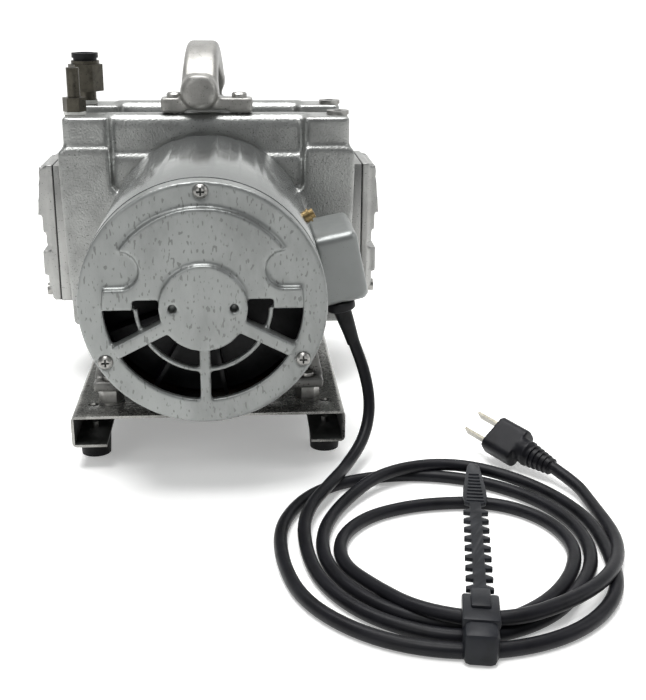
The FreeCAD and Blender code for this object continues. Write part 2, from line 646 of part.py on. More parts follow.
def crankcase_outside():
    lower = prism("case_block", [
        ("-case_half_bottom", "case_bottom"), ("case_half_bottom", "case_bottom"),
        ("case_half_width", "case_shoulder - 14"), ("case_half_width", "case_shoulder"),
        ("-case_half_width", "case_shoulder"), ("-case_half_width", "case_shoulder - 14")],
        "case_length", 0, CASE_FRONT)
    corners = fillet("case_corners", lower, 4, lambda e: along((0, 1, 0))(e)
                     and (middle_of(e).z > size("case_shoulder") - 1 or middle_of(e).z < size("case_bottom") + 1))
    pieces = [corners]
    for end, y in (("front", CASE_FRONT + " + pillar_setback"),
                   ("rear", CASE_REAR + " - pillar_setback - pillar_depth")):
        for side, x in (("left", "-pillar_outer"), ("right", "pillar_inner")):
            block = box("pillar_%s_%s" % (end, side), x, y, "case_shoulder - 6", "pillar_outer - pillar_inner",
                        "pillar_depth", "pillar_top - case_shoulder + 6")
            pieces.append(fillet("pillar_round_%s_%s" % (end, side), block, 3, along((0, 0, 1))))
    for end, y in (("front", CASE_FRONT + " + beam_setback"), ("rear", CASE_REAR + " - beam_setback - beam_depth")):
        beam = box("beam_" + end, "-pillar_inner - 4", y, "case_shoulder - 6", "2 * pillar_inner + 8",
                   "beam_depth", "beam_top - case_shoulder + 6")
        pieces.append(fillet("beam_round_" + end, beam, 8, lambda e: along((1, 0, 0))(e)
                             and middle_of(e).z > size("beam_top") - 1))
    return pieces


def crankcase():
    pieces = crankcase_outside()
    pieces.append(cylinder("case_spigot", "y", "shell_radius - shell_wall - fit_gap", 3.2, 0, CASE_FRONT + " - 3.2",
                           "axis_height"))
    for side, x in ((-1, minus("bolt_side + 12.5")), (1, "bolt_side - 12.5")):
        pieces.append(box("case_foot_%d" % side, x, PLATE_END + " - bolt_inset - 12.5", "plate_top", 25, 25,
                          "case_bottom - plate_top + 2"))
    outside = fuse("case_outside", *pieces)
    cavity = box("case_cavity", "-cavity_half_width", CASE_FRONT + " + case_wall", "cavity_floor",
                 "2 * cavity_half_width", "case_length", "cavity_roof - cavity_floor")
    panel = fillet("case_panel", box("case_panel_box", "-panel_half_width", CASE_FRONT + " - 1", "panel_bottom",
                                     "2 * panel_half_width", "panel_depth + 1", "panel_top - panel_bottom"),
                   7, along((0, 1, 0)))
    spigot_hollow = cylinder("spigot_hollow", "y", "shell_radius - shell_wall - 4", 5, 0, CASE_FRONT + " - 5.5",
                             "axis_height")
    ledge = box("case_ledge", "-panel_half_width", CASE_FRONT + " - 1", "panel_top - 8", "2 * panel_half_width",
                "panel_depth + 1", "beam_top - panel_top + 18")
    upper = box("case_ledge_upper", "-panel_half_width", CASE_FRONT + " - 1", "panel_top", "2 * panel_half_width",
                "beam_setback + 1", "beam_top - panel_top + 10")
    cuts = [cavity, panel, ledge, upper, spigot_hollow]
    for side, x in ((-1, "-case_half_width - 1"), (1, "cavity_half_width - 1")):
        cuts.append(cylinder("side_bore_%d" % side, "x", "side_bore_radius",
                             "case_half_width - cavity_half_width + 2", x, HEAD_Y, "axis_height"))
    for side, x in ((-1, "-case_half_width - 1"), (1, SEAT_X)):
        cuts.append(cylinder("side_seat_%d" % side, "x", "diaphragm_radius + 0.2", "diaphragm_seat_depth + 1", x,
                             HEAD_Y, "axis_height"))
        depth = "case_half_width - cavity_half_width - 1"
        start = "-case_half_width - 1" if side < 0 else "cavity_half_width + 3"
        for i, (y, z) in enumerate(head_screw_places()):
            cuts.append(cylinder("head_hole_%d_%d" % (side, i), "x", "head_screw_radius", depth, start, y, z))
    shelled = cut("case_shelled", outside, *cuts)
    boss = cylinder("case_boss", "y", "boss_radius", "boss_length", 0, CASE_FRONT + " + case_wall - 0.5",
                    "axis_height")
    bores = [cylinder("case_bearing_bore", "y", "main_bearing_radius", "main_bearing_width + 8", 0, MAIN_BEARING_Y,
                      "axis_height"),
             cylinder("case_shaft_hole", "y", "shaft_radius + 5", "case_wall + boss_length + 2", 0,
                      CASE_FRONT + " - 1", "axis_height")]
    for name, x, y in port_places():
        bores.append(cylinder("port_" + name, "z", "port_radius", "port_depth + 1", x, y, "pillar_top - port_depth"))
    for end, y in (("front", CASE_FRONT + " + port_inset - 5"), ("rear", CASE_REAR + " - port_inset + 5")):
        bores.append(cylinder("gallery_" + end, "x", "gallery_radius", "2 * port_side", "-port_side", y,
                              "gallery_height"))
    for i, (x, z) in enumerate(rear_screw_places()):
        bores.append(cylinder("rear_hole_%d" % i, "y", "small_thread_radius", 13, x, CASE_REAR + " - 12", z))
    for i, (x, y) in enumerate(handle_bolt_places()):
        bores.append(cylinder("handle_hole_%d" % i, "z", "head_screw_radius", 9, x, y, "beam_top - 8"))
    for side, x in both_sides("bolt_side"):
        bores.append(cylinder("foot_hole_%d" % side, "z", "bolt_radius", 13, x, PLATE_END + " - bolt_inset",
                              "plate_top - 1"))
    node("crankcase", cut("crankcase", fuse("case_with_boss", shelled, boss), *bores))


def rear_screw_places():
    return [(x, z) for side, x in both_sides("rear_screw_side")
            for z in ("case_bottom + 8", "axis_height", "case_shoulder - 8")]


def rear_cover():
    plate = fillet("rear_plate_round",
                   box("rear_plate", "-case_half_bottom", CASE_REAR, "case_bottom + 1", "2 * case_half_bottom",
                       "rear_cover_thickness", "case_shoulder - case_bottom - 5"), 8, along((0, 1, 0)))
    recess = fillet("rear_recess_round",
                    box("rear_recess", "-case_half_bottom + 14", CASE_REAR + " + rear_cover_thickness - 2",
                        "case_bottom + 15", "2 * case_half_bottom - 28", 3, "case_shoulder - case_bottom - 33"),
                    8, along((0, 1, 0)))
    boss = cylinder("rear_boss", "y", 26, "rear_cover_thickness", 0, CASE_REAR, "axis_height")
    ribs = [box("rear_rib_%d" % i, "-case_half_bottom + 13", CASE_REAR, "axis_height - 2 + %d" % rise,
                "2 * case_half_bottom - 26", "rear_cover_thickness - 0.6", 4) for i, rise in enumerate((-30, 0, 30))]
    holes = [cylinder("rear_cover_hole_%d" % i, "y", "small_thread_radius", "rear_cover_thickness + 2", x,
                      CASE_REAR + " - 1", z) for i, (x, z) in enumerate(rear_screw_places())]
    holes += [cylinder("rear_screw_recess_%d" % i, "y", "small_head_radius + 0.5", 5, x,
                       CASE_REAR + " + rear_cover_thickness - 2.7", z)
              for i, (x, z) in enumerate(rear_screw_places())]
    dished = cut("rear_dished", plate, recess)
    node("rear_cover", cut("rear_cover", fuse("rear_whole", dished, boss, *ribs), *holes))
    screws = []
    for i, (x, z) in enumerate(rear_screw_places()):
        screw = pan_screw("rear_screw_%d" % i, "y", x, CASE_REAR + " + rear_cover_thickness - 2.7", z, 12)
        turn(screw, (0, 0, 1), 180)
        screws.append(screw)
    node("rear_cover_screws", group("rear_cover_screws", screws))


# ---------------------------------------------------------------- heads
def head_screw_places():
    low = "head_bottom + head_screw_inset"
    high = "head_bottom + head_height - head_screw_inset"
    near = HEAD_Y + " - head_width / 2 + head_screw_inset"
    far = HEAD_Y + " + head_width / 2 - head_screw_inset"
    return [(y, z) for y in (near, far) for z in (low, high)]


def head_valve_plate():
    plate = box("valve_flange", "case_half_width", HEAD_Y + " - head_width / 2 - 2", "head_bottom",
                "valve_plate_thickness", "head_width + 4", "head_height")
    spigot = cylinder("valve_spigot", "x", "diaphragm_radius", "diaphragm_seat_depth - diaphragm_thickness - 0.1",
                      SEAT_X + " + diaphragm_thickness + 0.1", HEAD_Y, "axis_height")
    chamber = cylinder("valve_chamber", "x", "chamber_radius", "diaphragm_seat_depth + chamber_depth",
                       SEAT_X, HEAD_Y, "axis_height")
    holes = [cylinder("valve_hole_%d" % side, "x", "valve_hole_radius", 20, "case_half_width - 5", HEAD_Y,
                      "axis_height + %d * valve_rise" % side) for side in (-1, 1)]
    holes += [cylinder("valve_screw_hole_%d" % i, "x", "head_screw_radius", 20, "case_half_width - 5", y, z)
              for i, (y, z) in enumerate(head_screw_places())]
    return cut("right_valve_plate", fuse("valve_body", plate, spigot), chamber, *holes)


RIBS = (  # bottom and top above the head's bottom, reach as a share of the head's reach, lean
    ("big_block", 60, 92.5, 12.2), ("upper_pocket", 48, 59, 9.6), ("middle_rib", 39, 47, 7.7),
    ("lower_block", 18, 35, 10.8), ("lower_pocket", 7, 17, 8.2), ("bottom_rib", 0.5, 6.5, 6.2))


def head_cover():
    base = box("head_base", COVER_X, HEAD_Y + " - head_width / 2", "head_bottom", "head_reach / 2.6",
               "head_width", "head_height")
    ribs = []
    for name, low, high, reach in RIBS:
        reach_text = "head_reach * %s" % round(reach / 12.2, 3)
        lean = 3 if name == "big_block" else 0
        rib = prism("head_" + name, [
            (COVER_X, "head_bottom + %s" % low), (COVER_X + " + " + reach_text, "head_bottom + %s" % low),
            (COVER_X + " + %s - %s" % (reach_text, lean), "head_bottom + %s" % high),
            (COVER_X, "head_bottom + %s" % high)], "head_width - 2", 0, HEAD_Y + " - head_width / 2 + 1")
        ribs.append(rib)
    chambers = [box("head_chamber_%d" % side, COVER_X + " - 1", HEAD_Y + " - 17", z, "4.5", 34, 20)
                for side, z in ((-1, "axis_height - 24"), (1, "axis_height + 4"))]
    cuts = []
    for i, (y, z) in enumerate(head_screw_places()):
        cuts.append(cylinder("cover_screw_bore_%d" % i, "x", "head_screw_radius", 20, COVER_X + " - 1", y, z))
        cuts.append(cylinder("cover_screw_seat_%d" % i, "x", "cap_head_radius + 0.4", 20,
                             COVER_X + " + head_reach / 2.6", y, z))
    return cut("right_head_cover", fuse("head_body", base, *ribs), *(chambers + cuts))


def head_screw(name, y, z):
    seat = COVER_X + " + head_reach / 2.6"
    start = "case_half_width - 10"
    head = cylinder(name + "_head", "x", "cap_head_radius", "cap_head_height", seat, y, z)
    socket = cylinder(name + "_socket", "x", 2.2, 3, seat + " + cap_head_height - 2.5", y, z)
    shank = cylinder(name + "_shank", "x", "head_screw_radius", "%s - (%s)" % (seat, start), start, y, z)
    return cut(name, fuse(name + "_body", head, shank), socket)


def diaphragm():
    disc = cylinder("diaphragm_disc", "x", "diaphragm_radius", "diaphragm_thickness",
                    SEAT_X + " + fit_gap", HEAD_Y, "axis_height")
    hole = cylinder("diaphragm_hole", "x", "clamp_screw_radius + 0.3", 20, SEAT_X + " - 5", HEAD_Y, "axis_height")
    return cut("right_diaphragm", disc, hole)


def heads():
    for label, build in (("head_cover", head_cover), ("valve_plate", head_valve_plate), ("diaphragm", diaphragm)):
        right = node("right_" + label, build())
        node("left_" + label, mirror("left_" + label, right))
    screws = [head_screw("head_screw_%d" % i, y, z) for i, (y, z) in enumerate(head_screw_places())]
    gasket_plate = box("gasket_plate", PLATE_X, HEAD_Y + " - head_width / 2", "head_bottom", "gasket_thickness",
                       "head_width", "head_height")
    windows = [box("gasket_window_%d" % side, PLATE_X + " - 1", HEAD_Y + " - 17", z, 5, 34, 20)
               for side, z in ((-1, "axis_height - 24"), (1, "axis_height + 4"))]
    bolt_holes = [cylinder("gasket_hole_%d" % i, "x", "head_screw_radius", 8, PLATE_X + " - 2", y, z)
                  for i, (y, z) in enumerate(head_screw_places())]
    gasket = cut("right_gasket", gasket_plate, *(windows + bolt_holes))
    reeds = [box("reed_out", PLATE_X, HEAD_Y + " - 11", "axis_height + valve_rise - 5", "reed_thickness", 22, 10),
             box("reed_in", "case_half_width + chamber_depth - reed_thickness", HEAD_Y + " - 11",
                 "axis_height - valve_rise - 5", "reed_thickness", 22, 10)]
    for label, items in (("head_screws", screws), ("head_gaskets", [gasket]), ("valve_reeds", reeds)):
        copies = [mirror("left_%s_%d" % (label, i), item) for i, item in enumerate(items)]
        node(label, group(label, items + copies))


# ---------------------------------------------------------------- crank drive
def crank():
    """The eccentric stands above the shaft at rest, so both rods are at the middle of their stroke."""
    pin_z = "axis_height + crank_throw"
    start = HEAD_Y + " - eccentric_length / 2"
    bore = cylinder("eccentric_bore", "y", "shaft_radius", "eccentric_length + 2", 0, start + " - 1", "axis_height")
    pin = cylinder("eccentric_pin", "y", "eccentric_radius - fit_gap", "eccentric_length", 0, start, pin_z)
    screw_hole = cylinder("eccentric_screw_hole", "z", 2, "eccentric_radius + 5", 0, HEAD_Y,
                          "axis_height - eccentric_radius - 5")
    node("eccentric", cut("eccentric", pin, bore, screw_hole))
    screw_length = "eccentric_radius - crank_throw - shaft_radius - 0.5"
    node("eccentric_set_screw", cylinder("eccentric_set_screw", "z", 2, screw_length, 0, HEAD_Y,
                                         "axis_height - shaft_radius - (%s)" % screw_length))
    weights = []
    for name, y in (("front", start + " - weight_thickness + 6.5"), ("rear", start + " + eccentric_length - 6.5")):
        disc = cylinder("weight_disc_" + name, "y", "weight_radius", "weight_thickness", 0, y, "axis_height")
        upper = box("weight_trim_" + name, "-weight_radius - 1", y + " - 1", "axis_height + 6",
                    "2 * weight_radius + 2", "weight_thickness + 2", "weight_radius")
        hole = cylinder("weight_hole_" + name, "y", "eccentric_radius - fit_gap", "weight_thickness + 2", 0,
                        y + " - 1", pin_z)
        weights.append(cut("weight_" + name, disc, upper, hole))
    node("counterweights", group("counterweights", weights))


def rod(side, sign):
    """A connecting rod: big end on the eccentric, a block at the diaphragm, and an offset between them."""
    pin_z = "axis_height + crank_throw"
    y = HEAD_Y + " %s rod_spacing / 2 - rod_thickness / 2" % ("-" if sign > 0 else "+")
    ring = "eccentric_radius + rod_bearing_wall"
    big_end = cylinder(side + "_big_end", "y", ring + " + big_end_wall", "rod_thickness", 0, y, pin_z)
    reach = SEAT_X
    inner = ring + " + 1"
    neck_length = 26
    neck_x = inner if sign > 0 else minus("%s + %d" % (inner, neck_length))
    neck = box(side + "_neck", neck_x, y, "axis_height - rod_height / 2 + 1", neck_length, "rod_thickness",
               "rod_height")
    block_start = ring + " + big_end_wall + 9"
    block_x = block_start if sign > 0 else minus(reach)
    block = box(side + "_block", block_x, HEAD_Y + " - rod_block_width / 2", "axis_height - rod_height / 2",
                "%s - (%s)" % (reach, block_start), "rod_block_width", "rod_height")
    pad_x = reach + " - 4" if sign > 0 else minus(reach)
    pad = cylinder(side + "_pad", "x", "clamp_radius", 4, pad_x, HEAD_Y, "axis_height")
    bore = cylinder(side + "_bore", "y", ring, "rod_thickness + 2", 0, y + " - 1", pin_z)
    thread_x = reach + " - 12" if sign > 0 else minus(reach + " + 1")
    thread = cylinder(side + "_thread", "x", "clamp_screw_radius", 13, thread_x, HEAD_Y, "axis_height")
    node(side + "_rod", cut(side + "_rod", fuse(side + "_rod_body", big_end, neck, block, pad), bore, thread))
    outer = cylinder(side + "_bearing_outside", "y", ring, "rod_thickness", 0, y, pin_z)
    inside = cylinder(side + "_bearing_inside", "y", "eccentric_radius", "rod_thickness + 2", 0, y + " - 1", pin_z)
    node(side + "_rod_bearing", cut(side + "_rod_bearing", outer, inside))


def clamps():
    start = SEAT_X + " + diaphragm_thickness + 2 * fit_gap"
    disc = cylinder("clamp_disc", "x", "clamp_radius", "clamp_thickness", start, HEAD_Y, "axis_height")
    sink = cylinder("clamp_sink", "x", "clamp_screw_radius + 2.5", 3, start + " + clamp_thickness - 1.5", HEAD_Y,
                    "axis_height")
    hole = cylinder("clamp_hole", "x", "clamp_screw_radius", 20, start + " - 2", HEAD_Y, "axis_height")
    right = node("right_clamp_disc", cut("right_clamp_disc", disc, sink, hole))
    node("left_clamp_disc", mirror("left_clamp_disc", right))
    head = cylinder("clamp_screw_head", "x", "clamp_screw_radius + 2.5", 1.5, start + " + clamp_thickness - 1.5",
                    HEAD_Y, "axis_height")
    shank = cylinder("clamp_screw_shank", "x", "clamp_screw_radius", "%s + clamp_thickness - 1.5 - (%s - 12)"
                     % (start, SEAT_X), SEAT_X + " - 12", HEAD_Y, "axis_height")
    right = node("right_clamp_screw", fuse("right_clamp_screw", head, shank))
    node("left_clamp_screw", mirror("left_clamp_screw", right))


# ---------------------------------------------------------------- handle and fittings
def bracket_stations():
    return (("front", CASE_FRONT + " + beam_setback + beam_depth / 2 - bracket_depth / 2"),
            ("rear", CASE_REAR + " - beam_setback - beam_depth / 2 - bracket_depth / 2"))


def handle_bolt_places():
    return [(x, y + " + bracket_depth / 2") for end, y in bracket_stations() for side, x in both_sides("handle_bolt_side")]


def handle():
    """An arched bar that stands on two brackets; its arc passes through the crest and both ends."""
    radius = "((handle_reach ^ 2 + handle_rise ^ 2) / (2 * handle_rise))"
    centre_z = "handle_crest - " + radius
    bar = cut("handle_arch",
              cylinder("handle_outer", "x", radius, "handle_width", "-handle_width / 2", HEAD_Y, centre_z),
              cylinder("handle_inner", "x", radius + " - handle_thickness", "handle_width + 2",
                       "-handle_width / 2 - 1", HEAD_Y, centre_z))
    window = box("handle_window", "-handle_width / 2", HEAD_Y + " - handle_reach", NOSE_Z, "handle_width",
                 "2 * handle_reach", "handle_crest - handle_bottom + 1")
    arch = common("handle_bar", bar, window)
    doc.recompute()
    rounded = fillet("handle_round", arch, 4, lambda e: e.Curve.TypeId == "Part::GeomCircle")
    nose = handle_nose()
    rear_nose = mirror("handle_nose_rear", nose, (0, 1, 0))
    rear_nose.setExpression("Base.y", cells(HEAD_Y))
    bar_group = group("handle_bar_turned", [fuse("handle_bar_whole", rounded, nose, rear_nose)])
    bar_group.Placement.Rotation = FreeCAD.Rotation(V(0, 0, -1), 2)
    bar_group.setExpression("Placement.Rotation.Angle", cells("bar_turn"))
    place(bar_group, "-%s * sin(bar_turn) - bar_offset" % HEAD_Y, "%s * (1 - cos(bar_turn))" % HEAD_Y, 0)
    pieces = [bar_group] + front_bracket() + rear_tab()
    holes = []
    for i, (x, y) in enumerate(handle_bolt_places()):
        holes.append(cylinder("handle_bolt_hole_%d" % i, "z", "head_screw_radius", 20, x, y, "beam_top - 1"))
    for i, (x, y) in enumerate(handle_bolt_places()[:2]):
        holes.append(cylinder("handle_head_room_%d" % i, "z", 5.4, 5, x, y, "bracket_top"))
    for i, (x, y) in enumerate(handle_bolt_places()[2:]):
        holes.append(cylinder("handle_screw_seat_%d" % i, "z", 4.7, 4, x, y, "beam_top + rear_tab_height - 1.1"))
    node("handle", cut("handle", fuse("handle_body", *pieces), *holes))
    bolts = [handle_bolt(i, x, y) for i, (x, y) in enumerate(handle_bolt_places())]
    node("handle_bolts", group("handle_bolts", bolts))


NOSE_Z = "(handle_bottom + handle_width / 2)"


def handle_nose():
    """The bar's rounded end, which stands a little in front of its bracket."""
    radius = "handle_width / 2"
    solid = turned("handle_nose_turned", [
        (0, -4), (radius + " - 4.5", -4), (radius + " - 1.2", -2.6), (radius + " + 0.4", 0.8),
        (radius + " + 0.4", 19), (0, 19)],
        "y", 0, HEAD_Y + " - handle_reach", NOSE_Z)
    below = box("handle_nose_limit", "-handle_width", HEAD_Y + " - handle_reach - 5", "handle_bottom - 2",
                "2 * handle_width", 40, "handle_width + 0.5")
    return common("handle_nose", solid, below)


def front_bracket():
    y = bracket_stations()[0][1]
    pieces = [fillet("bracket_round", box("bracket", "-bracket_half_width", y, "beam_top + pad_height",
                                          "2 * bracket_half_width", "bracket_depth",
                                          "bracket_top - beam_top - pad_height"), 1.2, along((0, 0, 1)))]
    for side, x in ((-1, "-bracket_half_width + 0.5"), (1, "pad_gap_half_width")):
        pieces.append(box("pad_%d" % side, x, y + " + 0.5", "beam_top",
                          "bracket_half_width - pad_gap_half_width - 0.5", "bracket_depth - 1", "pad_height + 1"))
    return pieces


def rear_tab():
    """A thin tab under the bar's rear end, with a web that is narrower than the bar."""
    y = bracket_stations()[1][1]
    tab = box("rear_tab", "-bracket_half_width", y, "beam_top", "2 * bracket_half_width", "bracket_depth",
              "rear_tab_height")
    web = box("rear_web", "-handle_width / 2 + 3", y, "beam_top", "handle_width - 6", "bracket_depth",
              "handle_bottom - beam_top + 6")
    return [tab, web]


def handle_bolt(i, x, y):
    """Domed heads on the front bracket; low heads sunk in the rear tab."""
    if i < 2:
        outline = [(0, "bracket_top - beam_top + 3"), (4, "bracket_top - beam_top + 3"),
                   (5, "bracket_top - beam_top + 2"), (5, "bracket_top - beam_top"),
                   ("head_screw_radius", "bracket_top - beam_top")]
    else:
        outline = [(0, "rear_tab_height"), (4.2, "rear_tab_height"), (4.2, "rear_tab_height - 1.1"),
                   ("head_screw_radius", "rear_tab_height - 1.1")]
    return turned("handle_bolt_%d" % i, outline + [("head_screw_radius", -8), (0, -8)], "z", x, y, "beam_top")


def fittings():
    (_, left_x, front_y), (_, right_x, _), (_, _, rear_y), _ = port_places()
    hex_bottom = "(pillar_top + tape_height)"
    thread = cylinder("nipple_thread", "z", "port_radius", "thread_engagement + tape_height", left_x, front_y,
                      "pillar_top - thread_engagement")
    hexagonal = hexagon("nipple_hex", "nipple_hex_radius", "nipple_hex_height", left_x, front_y, hex_bottom)
    tube = cylinder("nipple_tube", "z", "nipple_radius", "nipple_top - pillar_top", left_x, front_y, "pillar_top")
    bore = cylinder("nipple_hole", "z", "nipple_bore", 60, left_x, front_y, "pillar_top - thread_engagement - 1")
    node("hose_nipple", cut("hose_nipple", fuse("nipple_body", thread, hexagonal, tube), bore))
    tapes = []
    for name, y, height in (("front", front_y, "tape_height"), ("rear", rear_y, "tape_height + 0.8")):
        tapes.append(cut("tape_" + name,
                         cylinder("tape_outer_" + name, "z", "port_radius + 0.6", height, left_x, y, "pillar_top"),
                         cylinder("tape_inner_" + name, "z", "port_radius", "20", left_x, y, "pillar_top - 1")))
    node("thread_seal_tape", group("thread_seal_tape", tapes))
    push_thread = cylinder("push_thread", "z", "port_radius", "push_hex_bottom - pillar_top + thread_engagement",
                           left_x, rear_y, "pillar_top - thread_engagement")
    push_hex = hexagon("push_hex", "push_body_radius", "push_hex_top - push_hex_bottom", left_x, rear_y,
                       "push_hex_bottom")
    neck = cylinder("push_neck", "z", "collar_radius + 0.6", "push_top - push_hex_bottom", left_x, rear_y,
                    "push_hex_bottom")
    socket = cylinder("push_socket", "z", "tube_radius + 0.1", 60, left_x, rear_y, "push_hex_bottom - 2")
    recess = cylinder("push_recess", "z", "collar_radius - 1", 60, left_x, rear_y, "push_top - 10")
    through = cylinder("push_through", "z", "tube_radius - 2", 60, left_x, rear_y,
                       "pillar_top - thread_engagement - 1")
    node("push_fitting_body", cut("push_fitting_body", fuse("push_body", push_thread, push_hex, neck), socket,
                                  recess, through))
    flange_low = "push_top + collar_travel + 0.4"
    node("release_collar", turned("release_collar", [
        ("tube_radius + 0.2", "push_top - 8"), ("collar_radius - 1.05", "push_top - 8"),
        ("collar_radius - 1.05", flange_low), ("collar_radius", flange_low),
        ("collar_radius", flange_low + " + collar_flange"),
        ("tube_radius + 0.2", flange_low + " + collar_flange")], "z", left_x, rear_y, 0))
    plugs = []
    for end, y in (("front", front_y), ("rear", rear_y)):
        stem = cylinder("plug_stem_" + end, "z", "port_radius", "thread_engagement", right_x, y,
                        "pillar_top - thread_engagement")
        head = cylinder("plug_head_" + end, "z", "port_radius + 0.9", 2.4, right_x, y, "pillar_top")
        socket = hexagon("plug_socket_" + end, 3.4, 6, right_x, y, "pillar_top - 2")
        plugs.append(cut("plug_" + end, fuse("plug_solid_" + end, stem, head), socket))
    node("port_plugs", group("port_plugs", plugs))


# ---------------------------------------------------------------- base
def base_plate():
    low = "plate_top - plate_height"
    half, lip = "plate_half_width", "plate_half_width - plate_lip"
    inner_half, inner_top = "plate_half_width - plate_sheet", "plate_top - plate_sheet"
    inner_low = low + " + plate_sheet"
    channel = prism("channel", [
        (minus(half), "plate_top"), (half, "plate_top"), (half, low), (lip, low), (lip, inner_low),
        (inner_half, inner_low), (inner_half, inner_top), (minus(inner_half), inner_top),
        (minus(inner_half), inner_low), (minus(lip), inner_low), (minus(lip), low), (minus(half), low)],
        "plate_length", 0, "plate_start_y")
    outer_half = size("plate_half_width")
    bent = fillet("channel_bends", channel, size("plate_bend"), lambda e: along((0, 1, 0))(e)
                  and abs(abs(middle_of(e).x) - outer_half) < 0.1)
    holes = []
    for end, y, spare_y in (("front", "plate_start_y + bolt_inset", "plate_start_y + spare_hole_inset"),
                            ("rear", PLATE_END + " - bolt_inset", PLATE_END + " - spare_hole_inset")):
        for side, x in both_sides("bolt_side"):
            holes.append(cylinder("plate_hole_%s_%d" % (end, side), "z", "bolt_radius", 6, x, y, "plate_top - 3"))
        for side, x in both_sides("spare_hole_side"):
            holes.append(cylinder("plate_spare_%s_%d" % (end, side), "z", "spare_hole_radius", 6, x, spare_y,
                                  "plate_top - 3"))
        foot_y = "plate_start_y + foot_inset" if end == "front" else PLATE_END + " - foot_inset"
        for side, x in both_sides("foot_side"):
            holes.append(cylinder("lip_hole_%s_%d" % (end, side), "z", "small_thread_radius", 6, x, foot_y,
                                  low + " - 2"))
    node("base_plate", cut("base_plate", bent, *holes))


def feet():
    low = "(plate_top - plate_height)"
    rubber, screws = [], []
    for end, y in (("front", "plate_start_y + foot_inset"), ("rear", PLATE_END + " - foot_inset")):
        for side, x in both_sides("foot_side"):
            name = "%s_%d" % (end, side)
            rubber.append(turned("foot_" + name, [
                ("small_thread_radius", 7), (5, 7), (5, 0), ("foot_tip_radius", 0), ("foot_radius", low),
                ("small_thread_radius", low)], "z", x, y, 0))
            screws.append(turned("foot_screw_" + name, [
                (0, 4.4), ("small_head_radius", 4.4), ("small_head_radius", 7), ("small_thread_radius", 7),
                ("small_thread_radius", low + " + 5"), (0, low + " + 5")], "z", x, y, 0))
    node("rubber_feet", group("rubber_feet", rubber))
    node("foot_screws", group("foot_screws", screws))


def base_bolts():
    """All four base bolts come up from under the plate; the front pair carries spacer nuts."""
    front_y = "plate_start_y + bolt_inset"
    rear_y = PLATE_END + " - bolt_inset"
    seat = "(plate_top - plate_sheet)"
    nut_low = "(plate_top + washer_thickness)"
    front_reach = "%s + nut_height + lug_thickness + 2" % nut_low
    bolts, nuts, washers = [], [], []
    for side, x in both_sides("bolt_side"):
        for end, y, top in (("front", front_y, front_reach), ("rear", rear_y, "plate_top + 11")):
            name = "%s_%d" % (end, side)
            head = hexagon("bolt_head_" + name, "bolt_hex_radius", "bolt_head_height", x, y,
                           seat + " - bolt_head_height")
            shank = cylinder("bolt_shank_" + name, "z", "bolt_radius", "%s - (%s)" % (top, seat), x, y, seat)
            bolts.append(fuse("bolt_" + name, head, shank))
        nut = hexagon("nut_hex_%d" % side, "bolt_hex_radius", "nut_height", x, front_y, nut_low)
        hole = cylinder("nut_hole_%d" % side, "z", "bolt_radius", "nut_height + 2", x, front_y, nut_low + " - 1")
        nuts.append(cut("nut_%d" % side, nut, hole))
        washers.append(cut("washer_%d" % side,
                           cylinder("washer_outer_%d" % side, "z", "washer_radius", "washer_thickness", x,
                                    front_y, "plate_top"),
                           cylinder("washer_inner_%d" % side, "z", "bolt_radius", 6, x, front_y,
                                    "plate_top - 2")))
    node("base_bolts", group("base_bolts", bolts))
    node("spacer_nuts", group("spacer_nuts", nuts))
    node("spacer_washers", group("spacer_washers", washers))


# ---------------------------------------------------------------- electrical parts
def terminal_box():
    """A cast box on the shell's right side, open towards the shell and tilted with it."""
    outer = box("box_outer", "box_side - 6", "box_start_y", "box_bottom", "box_width + 6", "box_length", "box_height")
    rounded = fillet("box_round", outer, 4.5, lambda e: e.BoundBox.Center.x > size("box_side") + 3)
    inner = box("box_inner", "box_side - 8", "box_start_y + box_wall", "box_bottom + box_wall",
                "box_width + 8 - box_wall", "box_length - 2 * box_wall", "box_height - 2 * box_wall")
    hollow = cut("box_hollow", rounded, inner)
    tilted = doc.addObject("Part::Compound", "box_tilted")
    tilted.Links = [hollow]
    pivot_x = "(box_side + box_width / 2)"
    pivot_z = "(box_bottom + box_height / 2)"
    tilted.Placement.Rotation = FreeCAD.Rotation(V(0, -1, 0), 5)
    tilted.setExpression("Placement.Rotation.Angle", cells("box_tilt"))
    angle = "box_tilt"
    place(tilted, "%s - %s * cos(%s) + %s * sin(%s)" % (pivot_x, pivot_x, angle, pivot_z, angle), 0,
          "%s - %s * sin(%s) - %s * cos(%s)" % (pivot_z, pivot_x, angle, pivot_z, angle))
    seat = cylinder("box_seat", "y", "shell_radius", "box_length + 20", 0, "box_start_y - 10", "axis_height")
    entry = cylinder("box_entry", "z", "gland_radius - 2.5", 20, "gland_side", "gland_y", "gland_height")
    flat = cylinder("box_gland_seat", "z", "gland_radius", "gland_flange", "gland_side", "gland_y", "gland_height")
    holes = [cylinder("box_screw_hole_%d" % i, "x", "small_thread_radius", 12,
                      "box_side + box_width - 6", y, "axis_height") for i, y in enumerate(box_screw_places())]
    holes += [cylinder("box_screw_seat_%d" % i, "x", "small_head_radius + 0.5", 12, "box_side + box_width - 1",
                       y, "axis_height") for i, y in enumerate(box_screw_places())]
    node("terminal_box", cut("terminal_box", tilted, seat, lean_with_box(entry), lean_with_box(flat), *holes))
    node("capacitor", fuse("capacitor",
                           cylinder("capacitor_can", "y", "capacitor_radius", "box_length - 2 * box_wall - 14",
                                    "box_side + box_width / 2", "box_start_y + box_wall + 10",
                                    "box_bottom + box_height - 18"),
                           cylinder("capacitor_post", "y", 3, 4, "box_side + box_width / 2",
                                    "box_start_y + box_wall + 6.2", "box_bottom + box_height - 18")))


def box_screw_places():
    return ["box_start_y + 14", "box_start_y + box_length - 14"]


